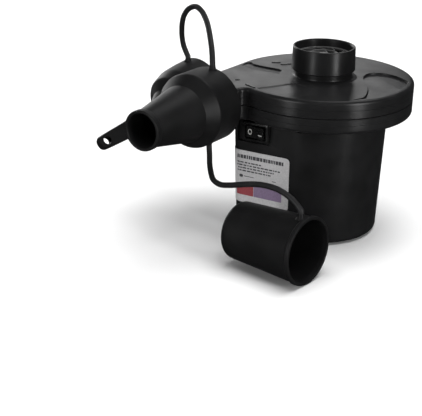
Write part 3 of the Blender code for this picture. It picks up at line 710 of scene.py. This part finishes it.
def top_face(work, rim, hole, height):
    """Fills between rim and hole, which are rings of vertices, with the swirl's relief."""
    panels = [(smooth_loop(knots), *shape) for knots, *shape in relief_panels()]
    points, edges = two_rings(rim, hole)
    for loop, _, width, _, _ in panels:
        sign = 1 if sum(a[0] * b[1] - a[1] * b[0] for a, b in zip(loop, loop[1:])) > 0 else -1
        for share in (0, 0.12, 0.3, 0.5, 0.7, 0.88, 1.0):
            moved = offset_loop(loop, sign * width * share)
            edges += ring_edges(len(points), len(moved))
            points += moved
    grid = np.arange(-DISC_R, DISC_R, 2.0)
    points += [Vector((x, y)) for x in grid for y in grid if FOOT_R + 1 < math.hypot(x, y) < 47]
    spots, _, faces, source, _, _ = delaunay_2d_cdt(points, edges, [], 0, FILL_GAP)
    levels = relief_height(np.array([tuple(spot) for spot in spots]), panels)
    kept = rim + hole
    verts = []
    for spot, level, came_from in zip(spots, levels, source):
        old = [kept[j] for j in came_from if j < len(kept)]
        verts.append(old[-1] if old else work.verts.new(metres((*spot, height + level))))
    faces_between(work, faces, verts, rim, hole)


def flat_ring(work, rim, hole):
    """Fills between two rings of vertices at one height."""
    points, edges = two_rings(rim, hole)
    _, _, faces, source, _, _ = delaunay_2d_cdt(points, edges, [], 0, FILL_GAP)
    verts = [(rim + hole)[came_from[0]] for came_from in source]
    faces_between(work, faces, verts, rim, hole)


def round_wall(work, radius, count, low, high):
    """The wall of a round hole.  Returns its lower and upper ring of vertices."""
    circle = ring(radius, count)
    return skin(work, [at_height(circle, low), at_height(circle, high)])


def groove(low, depth):
    """(inset, height) points of a fine groove round the casing's wall."""
    return [(0.0, low), (depth, low + 0.1), (depth, low + 0.3), (0.0, low + 0.4)]


def duct_block(name):
    """The cutter for the air duct through the spout and the port."""
    place = at((PORT_X, SPOUT_END_Y - 0.5, PORT_Z))
    return rounded_box(name, DUCT_SIZE, 1.5, place)


def casing_cover():
    """The cover: rounded rim, a fine groove under it, the swirl relief and a wall inside."""
    roof = DISC_TOP - ROOF_THICK
    foot = SPLIT_Z + SPLIT_GAP
    wall = [(CASE_WALL, roof), (CASE_WALL, foot), (0.2, foot), (0.0, foot + 0.2)]
    wall += groove(COVER_GROOVE_Z, 0.09)
    wall += edge_arc(RIM_R, DISC_TOP, True)
    work = bmesh.new()
    inner, outer = skin(work, wall_loops(wall))
    under, over = round_wall(work, INLET_R, 96, roof, DISC_TOP)
    flat_ring(work, inner, under)
    top_face(work, outer, over, DISC_TOP)
    cover = add_mesh("casing_cover", work, sharp=40)
    carve(cover, [duct_block("duct_cover")])
    as_piece(cover, "cover", "pump", ("top_cover",))


def casing_lower():
    """The lower half: a step under the parting line, and a rounded floor edge."""
    rim = SPLIT_Z - SPLIT_GAP
    floor = DISC_BOTTOM + FLOOR_THICK
    wall = edge_arc(FLOOR_R, DISC_BOTTOM, False)[::-1]
    wall += groove(LOWER_GROOVE_Z, 0.08)
    wall += [(0.0, rim - 0.3), (0.2, rim), (CASE_WALL, rim), (CASE_WALL, floor)]
    work = bmesh.new()
    under, inner = skin(work, wall_loops(wall))
    low, high = round_wall(work, SHAFT_HOLE_R, 48, DISC_BOTTOM, floor)
    flat_ring(work, under, low)
    flat_ring(work, inner, high)
    lower = add_mesh("casing_lower", work, sharp=40)
    holes = [duct_block("duct_lower")]
    for angle in SCREW_ANGLES:
        spot = (*polar(SCREW_CIRCLE_R, angle), DISC_BOTTOM)
        holes.append(plate(f"hole_{angle}", ring(1.7, 32), -3, 3, at(spot)))
    carve(lower, holes)
    as_piece(lower, "case", "pump", ("volute_lower",))


def cover_screws():
    """Pan-head screws with a cross recess, seen from below."""
    head = [(0, 0, 0), (2.0, 0, 0.4), (2.5, 0.75, 0.15), (2.5, 1.3, 0.1), (1.3, 1.3, 0)]
    thread = []
    for i in range(9):
        thread += [(1.3, 1.9 + i * 0.8, 0), (1.05, 2.3 + i * 0.8, 0)]
    corners = [*head, *thread, (0, 9.6, 0)]
    for angle in SCREW_ANGLES:
        place = at((*polar(SCREW_CIRCLE_R, angle), SCREW_LOW.z))
        screw = lathe(f"casing_screw_{angle}", corners, place, 36, False, 5)
        slots = []
        for number, degrees in enumerate((angle, angle + 90)):
            cross = place @ turned_by(degrees, "Z")
            slots.append(rounded_box(f"slot_{number}", (2.9, 0.6, 1.6), 0, cross))
        carve(screw, slots)
        as_piece(screw, "screw_dark", "pump", (f"cover_screw_{angle}",))


def swirl_marks():
    """Small moulded dashes on the cover, beside the swirl."""
    marks = [(-35.8, 7.2, 5.4, 40), (-28.6, 8.9, 4.2, 40), (-29.8, 6.3, 4.0, 40)]
    marks += [(-33.6, -38.0, 2.8, 50), (-20.8, -44.3, 8.4, -17)]
    for number, (x, y, length, angle) in enumerate(marks):
        place = at((x, y, DISC_TOP)) @ turned_by(angle, "Z")
        outline = round_rectangle(length / 2, 0.55, 0.5)
        mark = plate(f"cover_mark_{number}", outline, -0.9, 0.4, place, 0.12)
        as_piece(mark, "switch", "pump")


# ---------------- port, collar and grille


def outlet_port():
    """The round port that the nozzle is pushed onto, closed but for the duct."""
    length = PORT_ROOT_Y - PORT_END_Y
    bore_r = PORT_R - 2.3
    corners = [
        (0, 2.0, 0), (bore_r, 2.0, 0), (bore_r, length, 0.5), (PORT_R - 0.25, length, 0.6),
        (PORT_R - 0.1, length - 3, 0), (PORT_R, 0.0, 0), (0, 0.0, 0),
    ]
    place = aimed((PORT_X, PORT_ROOT_Y, PORT_Z), (0, -1, 0))
    port = lathe("port_tube", corners, place, closed=False)
    carve(port, [duct_block("duct_port")])
    as_piece(port, "case", "pump", ("outlet_port",))


def inlet_collar():
    """The collar: a crisp lower lip over a narrow neck, on a swept foot."""
    ledge = GRILLE_LOW.z - 0.2
    corners = [
        (16.75, COLLAR_TOP, 0.35), (17.75, COLLAR_TOP, 0.5), (18.3, 95.5, 0.4),
        (16.7, 94.95, 0.3), (16.6, 91.7, 1.0), (FOOT_R, DISC_TOP, 0.0),
        (COLLAR_BORE_R, DISC_TOP, 0.0), (COLLAR_BORE_R, ledge, 0.2), (15.95, ledge, 0.1),
        (16.3, COLLAR_TOP - 0.9, 0.5),
    ]
    collar = lathe("collar_ring", corners, steps=192)
    as_piece(collar, "cover", "pump", ("inlet_collar",))


def curved_spoke(inner, outer, start, sweep, width):
    """Plan outline of a spoke that curves as it runs out."""
    sides = ([], [])
    for i in range(13):
        share = i / 12
        radius = inner + (outer - inner) * share
        half = math.degrees(width / 2 / radius)
        for side, sign in zip(sides, (-1, 1)):
            side.append(polar(radius, start + sweep * share + sign * half))
    return sides[0] + sides[1][::-1]


def inlet_grille():
    """A fan guard: outer and middle ring, a hub, and curved spokes between them."""
    low = GRILLE_LOW.z
    high = GRILLE_HIGH.z
    parts = []
    for number, (inner, outer) in enumerate(((13.8, 15.6), (7.0, 8.4))):
        section = [(inner, high), (outer, high), (outer, low), (inner, low)]
        corners = [(radius, height, 0.3) for radius, height in section]
        parts.append(lathe(f"guard_ring_{number}", corners, fine=5))
    dome = [(0, high, 0), (2.6, high, 0.5), (3.4, low, 0), (0, low, 0)]
    hub = lathe("grille_guard", dome, closed=False)
    for row, count, inner, outer, turn, sweep in (
        ("outer", 10, 7.6, 14.2, 0, 30),
        ("inner", 5, 2.4, 7.6, 10, 46),
    ):
        for i in range(count):
            outline = curved_spoke(inner, outer, i * 360 / count + turn, sweep, 1.1)
            parts.append(plate(f"{row}_spoke_{i}", outline, low + 0.1, high - 0.1, None, 0.25, 3))
    carve(hub, parts, "UNION")
    as_piece(hub, "grille", "pump", ("inlet_grille",))


# ---------------- motor housing


def motor_housing():
    """The tapered housing, with a switch pocket, vents and a hole for the gland."""
    loops = []
    for i in range(8, -1, -1):
        turn = math.radians(90 * i / 8)
        inset = BODY_EDGE * (1 - math.cos(turn))
        height = BODY_BASE_Z + BODY_EDGE * (1 - math.sin(turn))
        outline = body_outline(body_radius(height) - inset, BODY_CORNER - inset)
        loops.append(at_height(outline, height))
    for i in range(1, 13):
        height = BODY_BASE_Z + BODY_EDGE + (BODY_TOP_Z - BODY_BASE_Z - BODY_EDGE) * i / 12
        loops.append(at_height(body_outline(body_radius(height)), height))
    for height, floor in ((BODY_TOP_Z, 0.0), (BODY_BASE_Z, BODY_WALL)):
        inside = body_outline(body_radius(height) - BODY_WALL, BODY_CORNER - BODY_WALL)
        loops.append(at_height(inside, height + floor))
    shell = loft("housing_shell", loops)
    carve(shell, [switch_pocket()])
    window = rounded_box("switch_window", SWITCH_WINDOW, 0, panel_place(SWITCH_ALONG, SWITCH_Z))
    gland = aimed(GLAND_PLACE, (0, 1, 0))
    holes = [window, plate("gland_hole", ring(GLAND_HOLE_R, 64), -6, 12, gland)]
    for number, angle in enumerate(VENT_ANGLES):
        place = turned_by(angle, "Z") @ at(VENT_PLACE)
        holes.append(rounded_box(f"vent_{number}", VENT_SIZE, 0.85, place, 3))
    carve(shell, holes)
    as_piece(shell, "case", "pump", ("motor_housing",))


def switch_pocket():
    """The cutter for a shallow pocket whose right side slopes up to the panel."""
    high = BODY_TOP_Z + 4 - SWITCH_Z
    mouth = (POCKET_RIGHT + POCKET_RAMP, POCKET_LOW)
    floor = (POCKET_RIGHT, POCKET_LOW + 0.8)
    loops = []
    for (right, foot), out in ((floor, -POCKET_DEPTH), (mouth, 0.0), (mouth, 3.0)):
        low = foot - SWITCH_Z
        corners = [(POCKET_LEFT, low), (right, low), (right, high), (POCKET_LEFT, high)]
        loops.append(at_height(filleted([(x, y, 0.6) for x, y in corners], steps=5), out))
    return loft("switch_pocket", loops, panel_place(0, SWITCH_Z))


def base_pad():
    """A rubber pad that stands on two moulded rings."""
    top = PAD_HIGH.z
    corners = [
        (0, 0.35, 0), (8.0, 0.35, 0.1), (8.6, 0.0, 0.2), (10.4, 0.0, 0.2),
        (11.0, 0.35, 0.1), (24.4, 0.35, 0.1), (25.0, 0.0, 0.2), (29.2, 0.0, 0.3),
        (PAD_HIGH.x, top * 0.5, 0.15), (PAD_HIGH.x - 0.2, top, 0.1), (0, top, 0),
    ]
    pad = lathe("foot_pad", corners, closed=False, fine=4)
    as_piece(pad, "rubber", "pump", ("base_pad",))


def cord_gland():
    """A ribbed strain relief with a slot for flat twin cord."""
    corners = [(0, 17.0, 0), (4.2, 17.0, 0.5)]
    ribs = 5
    for i in range(ribs):
        z = 15.6 - i * 1.9
        radius = 4.35 + i * 0.15
        corners += [(radius, z, 0.2), (radius - 0.7, z - 0.4, 0.2)]
        corners += [(radius - 0.7, z - 1.0, 0.2), (radius + 0.1, z - 1.4, 0.2)]
    corners += [(5.2, 6.1, 0.2), (6.9, 5.8, 0.3), (6.9, 4.4, 0.1), (5.2, 4.4, 0)]
    corners += [(5.2, 0.5, 0), (6.9, 0.5, 0), (6.9, -1.3, 0), (0, -1.3, 0)]
    place = aimed(GLAND_PLACE, (0, 1, 0))
    gland = lathe("gland_boot", corners, place, 72, False, 4)
    carve(gland, [plate("cord_slot", round_rectangle(2.9, 1.85, 1.7), -40, 40, place)])
    as_piece(gland, "rubber", "pump", ("cord_gland",))


# ---------------- switch


def switch():
    """The switch's frame, which is a closed ring of sections, and the rocker in it."""
    place = panel_place(SWITCH_ALONG, SWITCH_Z)
    sections = [(8.25, 5.75, 1.2, -1.4), (8.25, 5.75, 1.2, 1.4), (8.1, 5.6, 1.1, 1.75)]
    sections += [(7.8, 5.3, 0.9, 1.9), (6.6, 4.25, 0.6, 1.9), (6.5, 4.15, 0.6, 1.6)]
    sections += [(6.5, 4.15, 0.6, -1.4)]
    loops = [at_height(round_rectangle(*section), height) for *section, height in sections]
    bezel = loft("switch_frame", loops, place, closed=True)
    as_piece(bezel, "switch", "pump", ("switch_bezel",))
    rocker(place @ at((0, 0, ROCKER_PIVOT)) @ Matrix.Rotation(-ROCKER_REST, 4, "Y"))


def rocker(place):
    """The rocker's face dips in the middle, with a ring mark and a bar mark on it."""
    half = 5.6
    corners = [(0.0, 2.0, 14.0), (-half, 2.9, 0.5), (-half, 0.2, 0.4), (-3.6, -2.6, 0.5)]
    corners += [(3.6, -2.6, 0.5), (half, 0.2, 0.4), (half, 2.9, 0.5)]
    body = plate("rocker_cap", filleted(corners), -3.55, 3.55, place @ turned_by(90, "X"), 0.4)
    as_piece(body, "switch", "rocker", ("rocker",))
    left = place @ at((-3.0, 0.0, 2.62)) @ turned_by(9, "Y") @ Matrix.Diagonal((0.8, 1.12, 1, 1))
    corners = [(1.05, 0.09, 0.04), (1.5, 0.09, 0.04), (1.5, -0.2, 0), (1.05, -0.2, 0)]
    mark = lathe("rocker_mark_ring", corners, left, 48, fine=3)
    as_piece(mark, "mark", "rocker")
    right = place @ at((3.8, -1.0, 2.62)) @ turned_by(-9, "Y")
    outline = round_rectangle(1.35, 0.3, 0.25)
    mark = plate("rocker_mark_bar", outline, -0.2, 0.09, right, 0.04, 2)
    as_piece(mark, "mark", "rocker")


# ---------------- label


def label_path(height, out):
    """The label's line round the panel at one height, from its right end."""
    radius = body_radius(height) + out
    inset = radius - BODY_CORNER
    path = [(LABEL_START, -radius), *arc((-inset, -inset), BODY_CORNER, 270, 180, 25)]
    path.append((-radius, -inset + LABEL_RETURN))
    turn = Matrix.Rotation(PANEL_TURN, 2)
    return [turn @ Vector(point) for point in path]


def on_label(across, height, out):
    """The point that is across millimetres round from the label's right end."""
    path = label_path(height, out)
    for here, there in zip(path, path[1:]):
        length = (there - here).length
        if across <= length or there is path[-1]:
            spot = here.lerp(there, across / length)
            return (spot.x, spot.y, height)
        across -= length


LABEL_MIDDLE = label_path(40, 0)
LABEL_ACROSS = sum((b - a).length for a, b in zip(LABEL_MIDDLE, LABEL_MIDDLE[1:]))


def label_patch(name, ends, heights, corner, columns=0, out=INK_OUT, thick=INK_THICK):
    """A thin patch with rounded corners, bent round the housing.

    Its ends count from the label's right-hand end, and out is how far it stands off.
    """
    left, right = ends
    low, high = heights
    columns = columns or max(3, round(right - left))
    cap = [corner * (1 - math.cos(math.radians(90 * i / 5))) for i in range(6)]
    straight = right - left - 2 * corner
    spots = [left + c for c in cap]
    spots += [left + corner + straight * i / columns for i in range(1, columns)]
    spots += [right - c for c in cap[::-1]]
    upper = []
    lower = []
    for across in spots:
        edge = min(across - left, right - across, corner)
        pull = corner - math.sqrt(max(corner**2 - (corner - edge) ** 2, 0))
        upper.append((across, high - pull))
        lower.append((across, low + pull))
    outline = upper + lower[::-1]
    loops = [[on_label(a, z, level) for a, z in outline] for level in (out, out + thick)]
    work = bmesh.new()
    inner, outer = skin(work, loops)
    last = len(outline) - 1
    for i in range(len(spots) - 1):
        j = i + 1
        work.faces.new((inner[last - i], inner[last - j], inner[j], inner[i]))
        work.faces.new((outer[i], outer[j], outer[last - j], outer[last - i]))
    return add_mesh(name, work, sharp=50)


def joined(name, parts):
    """One mesh object from several."""
    work = bmesh.new()
    for part in parts:
        work.from_mesh(part.data)
        bpy.data.objects.remove(part, do_unlink=True)
    return add_mesh(name, work, sharp=50)


def label():
    """Silver film with plain bars in place of words, and two blocks of colour."""
    low, high = LABEL_Z
    ends = (0.0, LABEL_ACROSS)
    film = label_patch("label_film", ends, LABEL_Z, 2.2, 60, LABEL_LIFT - 0.1, 0.12)
    as_piece(film, "label", "pump", ("label_plate",))
    draw = random.Random(7)
    margin = 33.0
    ink = []
    rows = [(4.9, 2.2, 3.6, 1.25), (7.7, 0.8, 17.6, 1.6), (9.4, 0.8, 5.6, 1.5)]
    rows += [(11.1, 0.8, 9.4, 1.5), (12.8, 0.8, 11.4, 1.5)]
    for drop, height, across, word in rows:
        heights = (high - drop, high - drop + height)
        while across < margin - 0.6:
            width = min(word * draw.uniform(0.5, 1.7), margin - across)
            ends = (across, across + width)
            ink.append(label_patch(f"word_{len(ink)}", ends, heights, 0.12))
            across += width + word * draw.uniform(0.22, 0.4)
    ink.append(label_patch("icon", (29.0, 31.4), (high - 16.6, high - 14.8), 0.8))
    for i, ends in enumerate(((22.0, 28.4), (8.0, 10.4))):
        ink.append(label_patch(f"icon_bar_{i}", ends, (high - 15.9, high - 15.5), 0.1))
    as_piece(joined("label_print", ink), "ink", "pump")
    for colour, ends in (("red", (22.2, 33.4)), ("violet", (4.2, 22.0))):
        block = label_patch(f"label_block_{colour}", ends, (low + 4.6, low + 11.6), 0.4)
        as_piece(block, f"ink_{colour}", "pump")


# ---------------- nozzles


def lug(name, spot, low, high, body):
    """A small moulded root from height low to high, which the tether grows out of."""
    length = abs(high - low)
    corners = [(0, 0, 0), (2.8, 0, 0), (1.9, 1.3, 0.8), (1.65, length, 0.2), (0, length, 0)]
    place = at((*spot, low))
    if high < low:
        place = place @ turned_by(180, "X")
    root = lathe(name, corners, place, 48, False, 6)
    as_piece(root, "nozzle", body)


def nozzle_medium():
    """The seated nozzle: a round-shouldered collar and a cone with a thick lip."""
    corners = [
        (9.3, 61.9, 0.5), (10.95, 61.9, 0.6), (10.95, 58.3, 0.7), (10.15, 57.6, 0.5),
        (15.8, 26.4, 0.3), (20.7, 19.6, 2.6), (20.7, 0.0, 0.6), (17.25, 0.0, 0.4),
        (17.25, 20.0, 0.5), (13.9, 21.4, 1.0), (8.6, 50.0, 1.0),
    ]
    place = aimed(MEDIUM_REAR, (0, -1, 0))
    nozzle = lathe("nozzle_b_cone", corners, place, 192)
    as_piece(nozzle, "nozzle", "medium_nozzle", ("nozzle_medium",))
    lug("lug_b_upper", MEDIUM_UPPER_LUG, 101.0, 103.9, "medium_nozzle")
    lug("lug_b_lower", MEDIUM_LOWER_LUG, 61.3, 58.3, "medium_nozzle")


def nozzle_small():
    """The slender nozzle: a bell, and a tapered spout with a flat drilled end."""
    corners = [
        (0, 83.0, 0), (3.9, 83.0, 2.6), (4.35, 77.6, 2.0), (5.0, 62.0, 6.0),
        (6.2, 46.0, 8.0), (8.2, 36.0, 6.0), (11.6, 30.8, 4.0), (18.0, 26.6, 3.0),
        (20.5, 19.0, 8.0), (21.0, 10.0, 8.0), (21.0, 0.0, 0.6), (17.5, 0.0, 0.5),
        (17.5, 19.4, 1.2), (15.0, 22.8, 1.5), (8.6, 28.4, 1.5), (5.4, 36.0, 2.0),
        (3.4, 50.0, 0), (1.5, 66.0, 0), (1.5, 76.6, 0), (0, 77.0, 0),
    ]
    place = aimed(SMALL_REAR, SMALL_AIM)
    nozzle = lathe("nozzle_c_spout", corners, place, 160, False)
    roll = place @ Matrix.Rotation(TONGUE_ROLL, 4, "Z")
    cross = roll @ at((0, 0, CROSS_HOLE_ALONG)) @ turned_by(90, "Y")
    cutters = [plate("cross_hole", ring(CROSS_HOLE_R, 48), -8, 8, cross)]
    for side in (-1, 1):
        flat = roll @ at((side * (TONGUE_THICK / 2 + 3.0), 0, 74.0))
        cutters.append(rounded_box(f"tongue_flat_{side}", (6.0, 14.0, 30.0), 0.6, flat))
    carve(nozzle, cutters)
    as_piece(nozzle, "nozzle", "small_nozzle", ("nozzle_small",))
    lug("lug_c", SMALL_LUG, 89.7, 91.9, "small_nozzle")


def nozzle_large():
    """The wide nozzle: a tapered cup with a beaded rim and a rounded open end."""
    corners = [
        (17.3, 0.0, 0.35), (19.0, 0.0, 0.5), (19.1, -2.2, 0.5), (18.4, -2.9, 0.4),
        (16.2, -48.3, 3.4), (12.1, -48.5, 0.6), (12.0, -46.9, 0.3), (14.2, -46.7, 2.0),
        (16.7, -2.6, 0.6),
    ]
    place = aimed(LARGE_RIM, LARGE_AIM)
    nozzle = lathe("nozzle_a_cup", corners, place, 192)
    as_piece(nozzle, "nozzle", "large_nozzle", ("nozzle_large",))
    lug("lug_a", LARGE_LUG, 37.2, 40.7, "large_nozzle")


def tethers():
    """Soft round tethers, moulded in one with the lugs at both ends."""
    for name, node, route, stiffness in (
        ("tether_loop", "tether_upper", UPPER_TETHER, "stiff"),
        ("tether_low", "tether_lower", LOWER_TETHER, "medium"),
    ):
        start, *middle, end = route
        points = [Vector(start), *smooth_route(middle, 1.6), Vector(end)]
        curve = bpy.data.curves.new(name, "CURVE")
        curve.dimensions = "3D"
        curve.bevel_depth = TETHER_R * MM
        curve.bevel_resolution = 6
        curve.use_fill_caps = True
        spline = curve.splines.new("POLY")
        spline.points.add(len(points) - 1)
        for point, place in zip(spline.points, points):
            point.co = (*metres(place), 1.0)
        spline.use_smooth = True
        piece = add_object(name, curve)
        as_piece(piece, "tether", "medium_nozzle", (node,))


# ---------------- carried-over parts


def inner_parts():
    """The parts inside the casing keep their CAD shape and get their own finish."""
    finishes = {
        "steel": "shaft armature motor_can bearing_lower bearing_upper motor_plate",
        "screw": "motor_screw_left motor_screw_right",
        "brass": "impeller_nut switch_terminal_left switch_terminal_right",
        "copper": "winding_lower winding_upper commutator",
        "fan": "impeller",
        "white_case": "motor_end_cap",
        "ferrite": "magnet_right magnet_left brush_right brush_left",
        "board": "brush_card rectifier_board",
        "switch": "switch_body capacitor rectifier",
        "rubber": "seal_ring",
        "lead_red": "lead_red",
        "lead_black": "lead_black",
    }
    for material, names in finishes.items():
        for name in names.split():
            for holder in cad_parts[name].material_slots:
                holder.material = MATERIALS[material]


# ---------------- stage, light and camera


def stage():
    """A pale seamless floor, which the gloss of the black plastic doesn't mirror."""
    mesh = bpy.data.meshes.new("floor")
    work = bmesh.new()
    bmesh.ops.create_grid(work, x_segments=1, y_segments=1, size=4.0)
    work.to_mesh(mesh)
    work.free()
    floor = add_object("floor", mesh)
    mesh.materials.append(shader_of("floor_pale", (0.86, 0.86, 0.86), 0.8, specular=0.1)[0])
    floor.visible_glossy = False


def area_light(name, azimuth, elevation, distance, size, power):
    """A soft light that looks at the pump from azimuth (0 is +X, 90 is +Y)."""
    data = bpy.data.lights.new(name, "AREA")
    data.shape = "RECTANGLE"
    data.size = size[0] * MM
    data.size_y = size[1] * MM
    data.energy = power
    up = math.radians(elevation)
    away = Vector((*polar(math.cos(up), azimuth), math.sin(up)))
    place = metres((0, -20, 60)) + away * distance * MM
    turn = (-away).to_track_quat("-Z", "Y")
    add_object(name, data, Matrix.Translation(place) @ turn.to_matrix().to_4x4())


def backdrop():
    """A world that is pale behind the object and lights it only dimly."""
    world = bpy.data.worlds.new("studio")
    bpy.context.scene.world = world
    world.use_nodes = True
    tree = world.node_tree
    dim = tree.nodes["Background"]
    dim.inputs["Color"].default_value = (0.95, 0.97, 1.0, 1.0)
    dim.inputs["Strength"].default_value = 0.035
    pale = node(tree, "Background", Color=(0.93, 0.93, 0.93, 1.0))
    seen = node(tree, "LightPath")
    pick = node(tree, "MixShader")
    tree.links.new(seen.outputs["Is Camera Ray"], pick.inputs["Fac"])
    tree.links.new(dim.outputs["Background"], pick.inputs[1])
    tree.links.new(pale.outputs["Background"], pick.inputs[2])
    tree.links.new(pick.outputs["Shader"], tree.nodes["World Output"].inputs["Surface"])


def lights():
    """A wide soft sun for the floor, and panels at set angles round the camera's azimuth.

    The two strips give the upright streaks, and the rest the sheen on the cover.
    """
    sun = bpy.data.lights.new("dome", "SUN")
    sun.energy = 3.4
    sun.angle = math.radians(60)
    add_object("dome", sun).visible_glossy = False
    view = math.degrees(math.atan2(CAMERA_PLACE[1], CAMERA_PLACE[0]))
    area_light("strip_right", view + 47, 6, 900, (150, 700), 5.6)
    area_light("strip_left", view - 38, 6, 900, (150, 700), 3.4)
    area_light("back_soft", view + 193, 19, 1100, (740, 260), 1.0)
    area_light("back_fill", view + 216, 8, 1000, (420, 500), 2.4)
    area_light("rim_soft", view + 150, 62, 1000, (500, 400), 1.8)


def camera():
    """The photograph's point of view."""
    look = Vector(CAMERA_LOOK).normalized()
    right = Vector(CAMERA_RIGHT).normalized()
    up = right.cross(look).normalized()
    axes = Matrix((right, up, -look)).transposed().to_4x4()
    data = bpy.data.cameras.new("camera")
    data.lens = LENS
    data.sensor_width = 36.0
    data.clip_start = 0.01
    made = add_object("camera", data, at(CAMERA_PLACE) @ axes)
    bpy.context.scene.camera = made


camera()
tethers()
casing_cover()
casing_lower()
cover_screws()
swirl_marks()
outlet_port()
inlet_collar()
inlet_grille()
motor_housing()
base_pad()
cord_gland()
switch()
label()
nozzle_medium()
nozzle_small()
nozzle_large()
inner_parts()
stage()
backdrop()
lights()
bpy.context.scene.view_settings.view_transform = "Standard"
